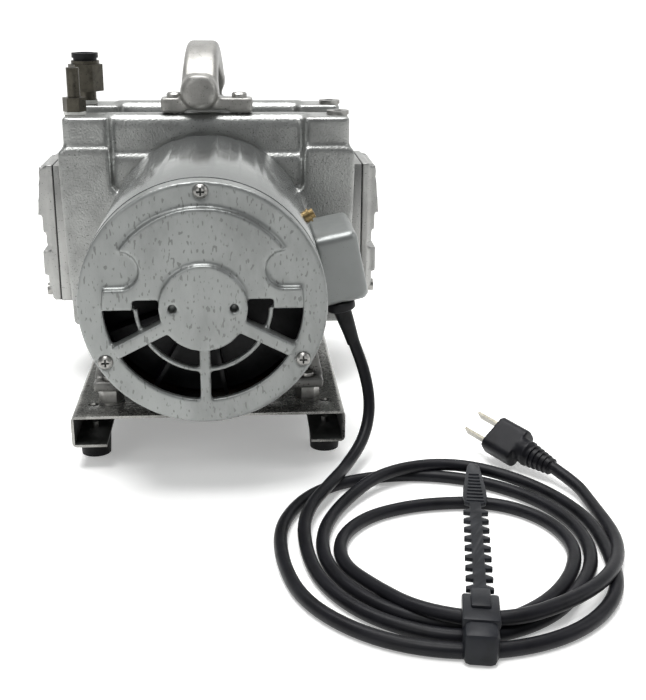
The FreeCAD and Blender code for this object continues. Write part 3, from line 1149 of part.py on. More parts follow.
def box_screws():
    screws = []
    for i, y in enumerate(box_screw_places()):
        screw = pan_screw("box_screw_%d" % i, "x", "box_side + box_width - 1", y, "axis_height", 3.5)
        turn(screw, (0, 0, 1), 90)
        screws.append(screw)
    node("terminal_box_screws", group("terminal_box_screws", screws))


def lean_with_box(item):
    """Turns a piece of the gland about its own place, so that it stands square to the box's floor."""
    item.Placement.Rotation = FreeCAD.Rotation(V(0, -1, 0), 5)
    item.setExpression("Placement.Rotation.Angle", cells("box_tilt"))
    return item


def cord_gland():
    """Flange under the box, a neck through its floor, and a short tapered sleeve down the cord."""
    flange = cylinder("gland_flange_disc", "z", "gland_radius", "gland_flange", "gland_side", "gland_y",
                      "gland_height")
    neck = cylinder("gland_neck", "z", "gland_radius - 2.5", "gland_flange + 5", "gland_side", "gland_y",
                    "gland_height")
    node("cord_gland", fuse("cord_gland", lean_with_box(flange), lean_with_box(neck)))


def earth_screw():
    radius = size("shell_radius")
    angle = math.radians(29.5)
    x, z = radius * math.cos(angle), size("axis_height") + radius * math.sin(angle)
    pieces = []
    for name, outer, height, start in (("nut", 3.6, 2.5, 0.1), ("ring_terminal", 4.2, 1.0, 2.6), ("head", 2.9, 2.4, 3.6)):
        piece = doc.addObject("Part::Cylinder", "earth_" + name)
        piece.Radius = outer
        piece.Height = height
        out = V(math.cos(angle), 0, math.sin(angle))
        piece.Placement = FreeCAD.Placement(V(x, size("earth_y"), z) + out * start, FreeCAD.Rotation(V(0, 0, 1), out))
        pieces.append(piece)
    node("earth_screw", group("earth_screw", pieces))


# ---------------------------------------------------------------- mains cord
DROP = [(78.3, -73.5, 92), (86, -74.3, 69.5), (93.8, -77.5, 48), (96, -84, 29), (90.5, -97, 14.5),
        (78, -119, 7), (64, -141, 9)]
TAIL = [(200, -231, 7), (208, -211, 5), (212, -189, 3.8), (210.5, -166, 4), (205, -146, 6.5), (195, -128.6, 9.5)]
PLUG_TAIL = V(196, -130, 9)
PLUG_AIM = V(-33, 46, 7.5)
COIL = {"centre": (121, -210), "outer": (86, 93), "hole_centre": (124, -213), "hole": (58, 49)}
TIE = [(117.5, -300), (147.5, -139)]


def tube_wire(name, points):
    """Straight runs joined by tangent arcs, each arc as large as its runs allow."""
    points = [V(*p) for p in points]
    edges, start, radii = [], points[0], []
    for before, corner, after in zip(points, points[1:], points[2:]):
        a, b = before - corner, after - corner
        turn_angle = math.pi - a.getAngle(b)
        trim = 0.45 * min(a.Length, b.Length)
        radius = trim / math.tan(turn_angle / 2)
        radii.append(round(radius, 1))
        a.normalize()
        b.normalize()
        first, last = corner + a * trim, corner + b * trim
        bisector = a + b
        bisector.normalize()
        centre = corner + bisector * (radius / math.cos(turn_angle / 2))
        halfway = centre - bisector * radius
        edges += [Part.LineSegment(start, first).toShape(), Part.Arc(first, halfway, last).toShape()]
        start = last
    edges.append(Part.LineSegment(start, points[-1]).toShape())
    print(name, "arc radii", radii)
    return Part.Wire(edges)


def tube(name, points, fitting, coil):
    """The cord along its route, between the face of the piece that it enters and the coil."""
    wire = tube_wire(name, points)
    radius = size("cord_radius")
    first = wire.OrderedEdges[0]
    circle = Part.Circle(V(*points[0]), first.tangentAt(first.FirstParameter), radius)
    solid = wire.makePipeShell([Part.Wire(circle.toShape())], True, True)
    expected = math.pi * radius ** 2 * wire.Length
    print(name, "length", round(wire.Length, 1), "volume share", round(solid.Volume / expected, 4))
    item = doc.addObject("Part::Feature", name)
    item.Shape = max(solid.cut(fitting).cut(coil).Solids, key=lambda s: s.Volume)
    return node(name, item)


def ellipse_face(centre, radii):
    x, y = centre
    long_first = radii[0] >= radii[1]
    major, minor = max(radii), min(radii)
    curve = Part.Ellipse(V(0, 0, 0), major, minor)
    shape = Part.Face(Part.Wire(curve.toShape()))
    if not long_first:
        shape.rotate(V(0, 0, 0), V(0, 0, 1), 90)
    shape.translate(V(x, y, 0))
    return shape


def tie_shape():
    """Strap with its fins across the loop, a tapered tip, and a buckle round the near bundle."""
    (x0, y0), (x1, y1) = TIE
    length = math.hypot(x1 - x0, y1 - y0)
    top = size("coil_height")
    pieces = [Part.makeBox(6, length - 34, 2.2, V(-3, 12, top))]
    tip = Part.makePolygon([V(-4.6, length - 24, top), V(4.6, length - 24, top), V(3, length, top),
                            V(-3, length, top), V(-4.6, length - 24, top)])
    pieces.append(Part.Face(tip).extrude(V(0, 0, 3)))
    for i in range(8):
        y = 30 + i * (length - 62) / 7.5
        pieces.append(Part.makeBox(13, 2.4, 2.2, V(-6.5, y, top)))
    buckle = Part.makeBox(15, 30, top + 5, V(-7.5, -4, 0))
    bundle_room = Part.makeBox(20, 24, top - 1.8, V(-10, -1, 1.8))
    pieces.append(buckle.cut(bundle_room))
    tie = pieces[0].multiFuse(pieces[1:]).removeSplitter()
    tie.rotate(V(0, 0, 0), V(0, 0, 1), -math.degrees(math.atan2(x1 - x0, y1 - y0)))
    tie.translate(V(x0, y0, 0))
    return tie


def cord_parts():
    """The tied coil is one solid of the bundle's outer shape, and the free runs end at its wall."""
    doc.recompute()
    tie = tie_shape()
    ring = ellipse_face(COIL["centre"], COIL["outer"]).cut(ellipse_face(COIL["hole_centre"], COIL["hole"]))
    coil = ring.Faces[0].extrude(V(0, 0, size("coil_height"))).cut(tie)
    solid = max(coil.Solids, key=lambda s: s.Volume)
    for name, shape in (("cord_coil", solid), ("cable_tie", tie.Solids[0])):
        item = doc.addObject("Part::Feature", name)
        item.Shape = shape
        node(name, item)
    tube("cord_drop", DROP, doc.getObject("cord_gland").Shape, solid)
    tube("cord_tail", TAIL, plug(), solid)


def plug_frame():
    """Axes of the plug: its aim, the direction between its blades, and their normal."""
    aim = FreeCAD.Vector(PLUG_AIM)
    aim.normalize()
    across = V(0, 0, 1).cross(aim)
    across.normalize()
    roll = FreeCAD.Rotation(aim, 180 - 38)
    across = roll.multVec(across)
    return FreeCAD.Placement(PLUG_TAIL, FreeCAD.Rotation(across, aim.cross(across) * -1, aim, "ZXY"))


def plug():
    """Moulded two-blade plug: blades 12.7 mm apart, a block, and a ribbed tail round the cord."""
    radius = size("cord_radius")
    frame = plug_frame()
    block = Part.makeBox(23, 13, 21, V(-11.5, -6.5, 24))
    block = block.makeFillet(4, [e for e in block.Edges if abs(e.tangentAt(e.FirstParameter).z) > 0.9])
    shoulder = Part.makeCone(8, 6.6, 8, V(0, 0, 17))
    neck = Part.makeCone(radius + 0.8, 6.4, 18, V(0, 0, 0))
    body = block.multiFuse([shoulder, neck]).removeSplitter()
    body.Placement = frame.multiply(body.Placement)
    item = doc.addObject("Part::Feature", "plug_body")
    item.Shape = body
    node("plug_body", item)
    blades = []
    for sign in (-1, 1):
        blade = Part.makeBox(1.5, 6.3, 17, V(sign * 6.35 - 0.75, -3.15, 45))
        blade.Placement = frame.multiply(blade.Placement)
        blades.append(blade)
    item = doc.addObject("Part::Feature", "plug_blades")
    item.Shape = Part.makeCompound(blades)
    node("plug_blades", item)
    return body


# ---------------------------------------------------------------- build and export
def build():
    end_cover()
    end_cover_screws()
    motor_shell()
    stator()
    bearings()
    rotor()
    cooling_fan()
    foot_bracket()
    crankcase()
    rear_cover()
    heads()
    crank()
    rod("right", 1)
    rod("left", -1)
    clamps()
    handle()
    fittings()
    base_plate()
    feet()
    base_bolts()
    terminal_box()
    box_screws()
    cord_gland()
    earth_screw()
    cord_parts()
    doc.recompute()


def check():
    for item in doc.Objects:
        if "Invalid" in item.State or "Error" in item.State:
            raise RuntimeError("failed feature: %s %s" % (item.Name, item.State))
    for label, item in PARTS:
        shape = item.Shape
        if shape.isNull() or not shape.isValid() or not shape.Solids:
            raise RuntimeError("bad shape: " + label)


def export():
    os.makedirs("parts", exist_ok=True)
    for label, item in PARTS:
        item.Shape.exportStep(os.path.join("parts", label + ".step"))
        box_ = item.Shape.BoundBox
        print("%-22s solids %2d  x %7.1f %7.1f  y %7.1f %7.1f  z %6.1f %6.1f" % (
            label, len(item.Shape.Solids), box_.XMin, box_.XMax, box_.YMin, box_.YMax, box_.ZMin, box_.ZMax))
    print(len(PARTS), "nodes")


build()
check()
export()
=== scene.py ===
# %% [markdown]
# # Twin-head diaphragm vacuum pump
# The pump is an induction motor bolted to a cast crankcase with a head on either side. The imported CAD
# model gives every place and size, but its edges are sharp and its surfaces bare. This lesson dresses it:
# rounded castings, silver paint, galvanised sheet, a mains cord in a tied coil, and a pale studio.

# %% Load the frame
import bpy
import bmesh
import json
from math import atan2, cos, pi, radians, sin
from mathutils import Matrix, Vector


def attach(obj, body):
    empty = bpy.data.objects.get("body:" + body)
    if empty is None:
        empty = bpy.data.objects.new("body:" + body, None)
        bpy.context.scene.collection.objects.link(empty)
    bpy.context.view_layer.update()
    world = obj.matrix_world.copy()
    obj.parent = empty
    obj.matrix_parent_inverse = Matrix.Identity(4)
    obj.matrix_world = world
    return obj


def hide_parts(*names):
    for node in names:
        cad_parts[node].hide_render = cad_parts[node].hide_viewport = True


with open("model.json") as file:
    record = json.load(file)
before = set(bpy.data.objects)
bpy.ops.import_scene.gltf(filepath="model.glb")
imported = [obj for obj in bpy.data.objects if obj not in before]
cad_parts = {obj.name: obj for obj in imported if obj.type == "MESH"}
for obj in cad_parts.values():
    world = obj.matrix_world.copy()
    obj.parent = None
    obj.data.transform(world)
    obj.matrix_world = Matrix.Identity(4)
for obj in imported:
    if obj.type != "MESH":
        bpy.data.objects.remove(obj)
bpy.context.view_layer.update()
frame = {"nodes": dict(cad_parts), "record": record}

# %% [markdown]
# The camera comes first, so that every piece is judged from the same place. It stands a little right of
# the pump, under a metre away, and looks down on it. Its turns could be set by hand in the viewport. Here
# they are three rotations multiplied in order, yaw, pitch and then roll, because each can then be changed
# alone.

# %% Camera
def make_camera(place, yaw, pitch, roll, lens):
    data = bpy.data.cameras.new("camera")
    data.lens = lens
    data.sensor_width = 36
    data.clip_start = 0.05
    camera = bpy.data.objects.new("camera", data)
    camera.matrix_world = (Matrix.Translation(place) @ Matrix.Rotation(-yaw, 4, "Z")
                           @ Matrix.Rotation(pi / 2 - pitch, 4, "X") @ Matrix.Rotation(roll, 4, "Z"))
    bpy.context.scene.collection.objects.link(camera)
    bpy.context.scene.camera = camera
    return camera

CAMERA_PLACE = (0.0178, -0.6935, 0.2729)
YAW, PITCH, ROLL = radians(4.63), radians(18.6), radians(0.42)
LENS = 56.5
camera = make_camera(CAMERA_PLACE, YAW, PITCH, ROLL, LENS)
print("camera at", [round(value, 3) for value in camera.location])

# %% [markdown]
# A finish is one material with real detail. Image textures could give it, but they need files and
# unwrapped meshes. Nodes need neither, so every pattern here is noise read at Object coordinates, and it
# stays on its piece when the piece moves. Four helpers keep the node trees short.

# %% Helpers for node trees
def new_material(name):
    material = bpy.data.materials.new(name)
    material.use_nodes = True
    nodes = material.node_tree.nodes
    return material, nodes, material.node_tree.links, nodes["Principled BSDF"]

def noise(nodes, links, coords, scale, detail=2.0, rough=0.5):
    node = nodes.new("ShaderNodeTexNoise")
    node.inputs["Scale"].default_value = scale
    node.inputs["Detail"].default_value = detail
    node.inputs["Roughness"].default_value = rough
    links.new(coords, node.inputs["Vector"])
    return node.outputs["Fac"]

def ramp(nodes, links, source, stops):
    node = nodes.new("ShaderNodeValToRGB")
    while len(node.color_ramp.elements) < len(stops):
        node.color_ramp.elements.new(0.5)
    for element, (place, colour) in zip(node.color_ramp.elements, stops):
        element.position = place
        element.color = (*colour, 1)
    links.new(source, node.inputs["Fac"])
    return node.outputs["Color"]

def mix(nodes, links, factor, first, second, mode="MIX"):
    node = nodes.new("ShaderNodeMix")
    node.data_type = "RGBA"
    node.blend_type = mode
    if isinstance(factor, float):
        node.inputs["Factor"].default_value = factor
    else:
        links.new(factor, node.inputs["Factor"])
    for value, socket in ((first, node.inputs["A"]), (second, node.inputs["B"])):
        if isinstance(value, tuple):
            socket.default_value = (*value, 1)
        else:
            links.new(value, socket)
    return node.outputs["Result"]

# %% [markdown]
# Cast parts in silver paint, zinc and rubber differ in numbers more than in kind. All have a base colour
# that drifts over centimetres, specks where the paint is thin or dirty, a gloss that varies, and a fine
# grain. So one function makes them all, and the values say which it is.

# %% One function for every finish
DARKER, LIGHTER = 2.2, 1.2            # how far the colour drifts to either side, in shares of drift
SPECK_REACH, SPECK_EDGE = 0.27, 0.05  # noise from no specks to all specks, and the width of their edge

def finish_of(name, colour, metallic=0.0, rough=0.4, drift=0.06, drift_scale=18, speck=0.0, speck_scale=700,
              speck_colour=(0.05, 0.05, 0.05), grain=0.0, grain_scale=900, coat=0.0, stretch=None):
    """More drift and speck give more of each. The grain is the bump's height in millimetres."""
    material, nodes, links, shader = new_material(name)
    coords = nodes.new("ShaderNodeTexCoord").outputs["Object"]
    if stretch:
        mapping = nodes.new("ShaderNodeMapping")
        mapping.inputs["Scale"].default_value = stretch
        links.new(coords, mapping.inputs["Vector"])
        coords = mapping.outputs["Vector"]
    dark = tuple(max(0.0, value * (1 - DARKER * drift)) for value in colour)
    light = tuple(min(1.0, value * (1 + LIGHTER * drift)) for value in colour)
    wide = noise(nodes, links, coords, drift_scale, 4.0, 0.6)
    tone = ramp(nodes, links, wide, [(0.3, dark), (0.5, colour), (0.72, light)])
    if speck:
        dots = noise(nodes, links, coords, speck_scale, 1.0, 0.6)
        edge = 0.5 - SPECK_REACH * (1 - speck) - 0.02
        mask = ramp(nodes, links, dots, [(edge, (1, 1, 1)), (edge + SPECK_EDGE, (0, 0, 0))])
        tone = mix(nodes, links, mask, tone, speck_colour)
    links.new(tone, shader.inputs["Base Color"])
    shader.inputs["Metallic"].default_value = metallic
    shader.inputs["Coat Weight"].default_value = coat
    shader.inputs["Coat Roughness"].default_value = 0.25
    gloss = nodes.new("ShaderNodeMapRange")
    gloss.inputs["To Min"].default_value = max(0.05, rough - 0.09)
    gloss.inputs["To Max"].default_value = rough + 0.09
    links.new(noise(nodes, links, coords, drift_scale * 5, 3.0, 0.6), gloss.inputs["Value"])
    links.new(gloss.outputs["Result"], shader.inputs["Roughness"])
    if grain:
        bump = nodes.new("ShaderNodeBump")
        bump.inputs["Strength"].default_value = 1.0
        bump.inputs["Distance"].default_value = grain / 1000
        links.new(noise(nodes, links, coords, grain_scale, 2.0, 0.55), bump.inputs["Height"])
        links.new(bump.outputs["Normal"], shader.inputs["Normal"])
    return material

# %% [markdown]
# The crankcase and rear cover carry a coarse hammered silver, and the end cover a finer one with short
# upright flecks. The shell is smooth and shinier, the heads are bare and bright, and the handle is greyer
# from hands. Each is a guess at first and then is set in the render, which is quicker than
# measuring paint.

# %% Silver paints
HAMMERED = finish_of("hammered_silver", (0.30, 0.305, 0.295), metallic=0.8, rough=0.34, drift=0.10,
                     drift_scale=50, speck=0.3, speck_scale=1000, speck_colour=(0.13, 0.13, 0.128),
                     grain=0.26, grain_scale=700, coat=0.15)
COVER = finish_of("cover_silver", (0.255, 0.265, 0.258), metallic=0.65, rough=0.38, drift=0.09,
                  drift_scale=60, speck=0.42, speck_scale=640, speck_colour=(0.155, 0.16, 0.155),
                  grain=0.10, grain_scale=620, coat=0.2, stretch=(1, 1, 0.45))
SHELL = finish_of("shell_silver", (0.29, 0.30, 0.295), metallic=0.85, rough=0.21, drift=0.03,
                  drift_scale=20, speck=0, speck_scale=900, grain=0.008, grain_scale=1200)
HEAD = finish_of("head_silver", (0.33, 0.33, 0.32), metallic=0.85, rough=0.32, drift=0.08,
                 drift_scale=50, speck=0.2, speck_scale=900, speck_colour=(0.16, 0.16, 0.155),
                 grain=0.10, grain_scale=800)
GRIP = finish_of("handle_grey", (0.27, 0.265, 0.25), metallic=0.6, rough=0.40, drift=0.12,
                 drift_scale=90, speck=0.24, speck_scale=800, speck_colour=(0.12, 0.115, 0.105),
                 grain=0.14, grain_scale=800, coat=0.15)
BOX = finish_of("box_silver", (0.215, 0.225, 0.22), metallic=0.6, rough=0.42, drift=0.03, drift_scale=25,
                speck=0.05, speck_scale=900, speck_colour=(0.17, 0.17, 0.168), grain=0.02,
                grain_scale=1100, coat=0.2)
print(len(bpy.data.materials), "finishes after the paints")

# %% [markdown]
# The base plate is zinc-coated sheet with dark stains, so its drift is wide and its metal bright. Screws,
# shaft, bearings and fittings are bare metals, where roughness matters more than colour.

# %% Metals
GALVANISED = finish_of("galvanised_sheet", (0.27, 0.268, 0.255), metallic=0.95, rough=0.27, drift=0.24,
                       drift_scale=60, speck=0.2, speck_scale=380, speck_colour=(0.08, 0.078, 0.07),
                       grain=0.03, grain_scale=350)
# A dark finish that paints shade. In the screws' crosses it is painted shade alone; in the base plate's
# channel it is painted shade together with oil and dust.
SHADE_AND_DIRT = finish_of("shade_and_dirt_steel", (0.045, 0.047, 0.045), metallic=0.5, rough=0.45, drift=0.3,
                   drift_scale=70, speck=0.2, speck_scale=400, speck_colour=(0.015, 0.015, 0.015),
                   grain=0.05, grain_scale=500)
IRON = finish_of("cast_foot", (0.16, 0.158, 0.15), metallic=0.6, rough=0.46, drift=0.2, drift_scale=70,
                 speck=0.3, speck_scale=700, speck_colour=(0.05, 0.048, 0.045), grain=0.14,
                 grain_scale=600)
STEEL = finish_of("plated_steel", (0.33, 0.325, 0.31), metallic=1.0, rough=0.36, drift=0.15,
                  drift_scale=160, speck=0.15, speck_scale=900, speck_colour=(0.13, 0.125, 0.11),
                  grain=0.04, grain_scale=1000)
GROUND = finish_of("ground_steel", (0.50, 0.50, 0.50), metallic=1.0, rough=0.25, drift=0.05,
                   drift_scale=90, grain=0.01, grain_scale=1200, stretch=(1, 8, 1))
CORE = finish_of("laminated_core", (0.10, 0.10, 0.105), metallic=0.8, rough=0.5, drift=0.15,
                 drift_scale=40, grain=0.05, grain_scale=900, stretch=(1, 6, 1))
MACHINED = finish_of("machined_aluminium", (0.60, 0.60, 0.59), metallic=1.0, rough=0.3, drift=0.05,
                     drift_scale=90, grain=0.02, grain_scale=900)
COPPER = finish_of("enamelled_copper", (0.42, 0.18, 0.08), metallic=1.0, rough=0.32, drift=0.15,
                   drift_scale=120, grain=0.25, grain_scale=700, stretch=(1, 0.3, 1))
TARNISHED = finish_of("tarnished_brass", (0.085, 0.078, 0.062), metallic=0.85, rough=0.4, drift=0.2,
                      drift_scale=160, speck=0.25, speck_scale=700, speck_colour=(0.03, 0.03, 0.025),
                      grain=0.05, grain_scale=500)
EARTH = finish_of("earth_brass", (0.26, 0.19, 0.09), metallic=1.0, rough=0.38, drift=0.12,
                  drift_scale=200, grain=0.02)
print(len(bpy.data.materials), "finishes after the metals")

# %% [markdown]
# Rubber, nylon and moulded plastic are nearly black. Under soft light their sheen decides how black they
# look, so their specular level is lowered on the shader's own socket.

# %% Rubber, plastic and tape
BLACK_SHEEN = 0.17
TAPE = finish_of("seal_tape", (0.62, 0.62, 0.59), metallic=0.0, rough=0.6, drift=0.12, drift_scale=300,
                 grain=0.12, grain_scale=600, stretch=(1, 1, 6))
BLACK = finish_of("black_plastic", (0.012, 0.012, 0.013), metallic=0.0, rough=0.42, drift=0.2,
                  drift_scale=200, grain=0.03, grain_scale=900)
RUBBER = finish_of("black_rubber", (0.012, 0.012, 0.013), metallic=0.0, rough=0.55, drift=0.3,
                   drift_scale=120, speck=0.12, speck_scale=900, speck_colour=(0.03, 0.03, 0.03),
                   grain=0.04, grain_scale=900)
CORD = finish_of("cord_jacket", (0.007, 0.007, 0.009), metallic=0.0, rough=0.40, drift=0.25,
                 drift_scale=60, grain=0.03, grain_scale=700)
TIE = finish_of("tie_nylon", (0.012, 0.013, 0.016), metallic=0.0, rough=0.36, drift=0.2, drift_scale=90,
                grain=0.03, grain_scale=900)
BLADE = finish_of("plug_blade", (0.19, 0.18, 0.15), metallic=1.0, rough=0.33, drift=0.12,
                  drift_scale=200, grain=0.02)
CASE = finish_of("capacitor_case", (0.6, 0.6, 0.57), metallic=0.0, rough=0.45, drift=0.05,
                 drift_scale=40, grain=0.02)
for dark in (BLACK, RUBBER, CORD, TIE):
    dark.node_tree.nodes["Principled BSDF"].inputs["Specular IOR Level"].default_value = BLACK_SHEEN
print(len(bpy.data.materials), "finishes")

# %% [markdown]
# Every visible piece rides on a body of the frame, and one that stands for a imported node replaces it.
# Both could be written out each time. A helper does it once, and looks up the node's body and slot in the
# record, so that no piece is forgotten.

# %% Pieces and the nodes they stand for
def soften(mesh, angle=35):
    """Smooth shading, with a crease wherever two faces meet at more than angle degrees."""
    for polygon in mesh.polygons:
        polygon.use_smooth = True
    mesh.set_sharp_from_angle(angle=radians(angle))

def add_piece(name, mesh, body, finish, nodes=()):
    obj = bpy.data.objects.new(name, mesh)
    bpy.context.scene.collection.objects.link(obj)
    mesh.materials.clear()
    mesh.materials.append(finish)
    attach(obj, body)
    if nodes:
        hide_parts(*nodes)
    return obj

def body_of_node(node):
    bodies = frame["record"]["behaviour"]["bodies"]
    return next(name for name, members in bodies.items() if node in members)

def slot_of_node(node):
    return next(item["material_slot"] for item in frame["record"]["subparts"] if item["node"] == node)

# %% [markdown]
# Sheet and moulded parts have a narrow round along each edge, which catches the light. It could be faked
# in the shader, but the outline would stay sharp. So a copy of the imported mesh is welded, its facets are
# joined into whole faces, and every edge that turns by more than 32 degrees is bevelled.

# %% A rounded copy
CREASE = 32

def welded(node):
    """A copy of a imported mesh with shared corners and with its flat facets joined."""
    work = bmesh.new()
    work.from_mesh(frame["nodes"][node].data)
    bmesh.ops.remove_doubles(work, verts=work.verts, dist=2e-6)
    bmesh.ops.dissolve_limit(work, angle_limit=radians(1.5), verts=work.verts, edges=work.edges,
                             delimit={"NORMAL"})
    return work

def rounded(work, radius, segments):
    edges = [edge for edge in work.edges if len(edge.link_faces) == 2
             and edge.calc_face_angle(0) > radians(CREASE)]
    bmesh.ops.bevel(work, geom=edges, offset=radius, offset_type="OFFSET", affect="EDGES", segments=segments,
                    profile=0.5, material=-1, clamp_overlap=True)
    return work

def to_mesh(work, name, angle=35):
    mesh = bpy.data.meshes.new(name)
    work.to_mesh(mesh)
    work.free()
    soften(mesh, angle)
    return mesh

def rounded_copy(node, finish, radius, segments=2):
    mesh = to_mesh(rounded(welded(node), radius, segments), node + "_rounded")
    return add_piece(node + "_rounded", mesh, body_of_node(node), finish, [node])

# %% [markdown]
# A sand or die casting is round everywhere, inside corners too, and thick paint rounds it more. Bevels
# fail where many short edges meet, as they do on ribs and fillets. So a casting is wrapped in one skin on
# a fine grid and relaxed for some passes. The handle's bar also grows narrower towards its crest.

# %% A cast copy
HANDLE_MIDDLE = -0.0026     # the bar stands this far left of the bracket's middle

def cast_copy(node, finish, grid, passes, taper=None):
    """taper is (low, high, share): the width shrinks by share between the heights low and high."""
    work = welded(node)
    if taper:
        low, high, share = taper
        for vertex in work.verts:
            rise = min(1, max(0, (vertex.co.z - low) / (high - low)))
            vertex.co.x = HANDLE_MIDDLE + (vertex.co.x - HANDLE_MIDDLE) * (1 - share * rise)
    mesh = to_mesh(work, node + "_cast", 180)
    obj = add_piece(node + "_cast", mesh, body_of_node(node), finish, [node])
    skin = obj.modifiers.new("skin", "REMESH")
    skin.mode = "VOXEL"
    skin.voxel_size = grid
    skin.use_smooth_shade = True
    relax = obj.modifiers.new("relax", "SMOOTH")
    relax.factor = 0.5
    relax.iterations = passes
    return obj

# %% [markdown]
# Now the copies are made. The grid is the skin's spacing in metres and has to be finer than the smallest
# detail, so the end cover with its thin lines gets 0.85 mm and the big crankcase 1.6 mm. More passes give
# rounder edges.

# %% The castings
HANDLE_TAPER = (0.205, 0.232, 0.12)
copies = [cast_copy("end_cover", COVER, 0.00085, 4), cast_copy("crankcase", HAMMERED, 0.0016, 7),
          cast_copy("handle", GRIP, 0.0011, 12, HANDLE_TAPER),
          cast_copy("motor_foot_bracket", IRON, 0.0012, 6),
          cast_copy("rear_cover", HAMMERED, 0.0013, 4), cast_copy("terminal_box", BOX, 0.0009, 6),
          cast_copy("left_head_cover", HEAD, 0.0010, 4), cast_copy("right_head_cover", HEAD, 0.0010, 4)]
for copy in copies:
    print(copy.name, len(copy.data.polygons), "faces")

# %% [markdown]
# The valve plates, the base plate, the rolled shell and the gland are machined, pressed or moulded, so
# they keep their flat faces and get bevels. The plug is soft rubber and is wrapped like a casting.

# %% Sheet, shell, plug and gland
copies = [rounded_copy("left_valve_plate", HEAD, 0.0004), rounded_copy("right_valve_plate", HEAD, 0.0004),
          rounded_copy("base_plate", GALVANISED, 0.0005, 3), rounded_copy("motor_shell", SHELL, 0.0002),
          cast_copy("plug_body", CORD, 0.0008, 8), rounded_copy("cord_gland", BLACK, 0.0012, 3)]
for copy in copies:
    print(copy.name, len(copy.data.polygons), "faces")

# %% [markdown]
# The inside of the base plate's channel and the underside of its lips are darkened. Oil and dust gather
# there out of reach of a cloth, and the darkening also paints the shade that falls in the recess. A mask in
# the shader could darken it, but a second finish on the faces that lie inside is simpler and keeps a clean
# edge along the lips.

# %% Painted shade and dirt in the channel
PLATE_HALF, PLATE_TOP, SHEET = 0.0795, 0.0337, 0.0011
LIP_TOP = 0.0150

def paint_shade_and_dirt(obj, to_darken):
    """Every face that the given test picks gets the dark finish of painted shade and dirt as the piece's
    second one.
    """
    obj.data.materials.append(SHADE_AND_DIRT)
    picked = [face for face in obj.data.polygons if to_darken(face.center, face.normal)]
    for face in picked:
        face.material_index = 1
    return len(picked)

# The faces inside the channel and those facing down under the lips get painted shade, together with oil and
# dust.
def in_channel(middle, normal):
    inside = abs(middle.x) < PLATE_HALF - SHEET and middle.z < PLATE_TOP - SHEET and abs(normal.y) < 0.7
    return inside or (middle.z < LIP_TOP and normal.z < -0.5)

print(paint_shade_and_dirt(bpy.data.objects["base_plate_rounded"], in_channel), "dark faces in the channel")

# %% [markdown]
# The cross of a screw lies in shade, so it reads as dark, and that shade is painted. A copy of the three
# screws gets the dark finish on the faces that lie below the head's front and near a screw's middle.

# %% Dark crosses
SCREW_CIRCLE, AXIS_HEIGHT = 0.060, 0.112
CROSS_REACH, CROSS_DEPTH = 0.00215, 0.0018
SCREW_MIDDLES = [(SCREW_CIRCLE * cos(radians(turn)), AXIS_HEIGHT + SCREW_CIRCLE * sin(radians(turn)))
                 for turn in (90, 210, 330)]
screws = rounded_copy("end_cover_screws", STEEL, 0.0001, 1)
screw_front = min(vertex.co.y for vertex in screws.data.vertices)

# The faces inside each cross get the dark finish as painted shade.
def in_cross(middle, normal):
    near = min((middle.x - a) ** 2 + (middle.z - b) ** 2 for a, b in SCREW_MIDDLES) < CROSS_REACH ** 2
    return near and screw_front + 0.0002 < middle.y < screw_front + CROSS_DEPTH

print(paint_shade_and_dirt(screws, in_cross), "dark faces in the crosses")

# %% [markdown]
# Fittings, screws and the parts inside are machined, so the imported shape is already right. They could be
# copied too, but there is nothing to add. Each only takes the finish of its slot, which one table gives
# for all.

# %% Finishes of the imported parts
PACKED = {
    "screw_steel": STEEL, "bearing_steel": GROUND, "shaft_steel": GROUND, "core_steel": CORE,
    "rotor_aluminium": MACHINED, "copper": COPPER, "fan_plastic": BLACK, "rod_aluminium": HEAD,
    "valve_aluminium": HEAD, "reed_steel": GROUND, "gasket": RUBBER, "diaphragm": RUBBER, "rubber": RUBBER,
    "fitting_brass": TARNISHED, "seal_tape": TAPE, "black_plastic": BLACK, "capacitor_case": CASE,
    "earth_brass": EARTH, "blade_brass": BLADE, "plug_rubber": CORD, "tie_nylon": TIE}
for node, obj in frame["nodes"].items():
    finish = PACKED.get(slot_of_node(node))
    if finish:
        obj.data.materials.clear()
        obj.data.materials.append(finish)
print(len(PACKED), "finishes on packed parts")

# %% [markdown]
# The mains cord leaves the gland under the terminal box, drops to the floor and lies in nearly four
# turns, tied once. A simulation could drop it, but would not lay it the same way twice. So every turn is
# laid by its distance from the coil's middle at eight directions. The strands lie beside each other and
# cross where one is lifted.

# %% Turns of the cord
CORD_RADIUS = 0.0035
DROP = [(79.1, -73.5, 88.8), (86, -74.3, 69.5), (93.8, -77.5, 48), (96, -84, 29), (90.5, -97, 14.5),
        (78, -119, 8)]
TAIL = [(205, -146, 6.5), (195, -128.6, 9.5)]
MIDDLE = (121, -210)
STEP_DEGREES = 45
REACH = [96, 86, 72, 76, 82, 70, 73, 79, 88,          # from the drop, at 90 degrees and every 45 degrees on
         95, 85, 91, 92, 89, 80, 93, 91,
         71, 64.5, 66, 73, 62, 64.5, 62, 49,
         52, 57, 57.5, 79, 78, 88, 104]
LIFT = [10.5, 9, 3.7, 3.7, 3.7, 3.7, 3.7, 3.7, 3.7,
        3.7, 3.7, 3.7, 3.7, 3.7, 3.7, 3.7, 10.5,
        4.5, 3.7, 3.7, 3.7, 3.7, 3.7, 3.7, 3.7,
        3.7, 3.7, 6, 10.6, 10.4, 4, 4]

def between(values, place):
    """A smooth value at place, counted in steps along values."""
    last = len(values) - 1
    index = min(int(place), last - 1)
    share = place - index
    a, b, c, d = (values[max(0, min(last, index + k))] for k in (-1, 0, 1, 2))
    return b + 0.5 * share * (c - a + share * (2 * a - 5 * b + 4 * c - d + share * (3 * (b - c) + d - a)))

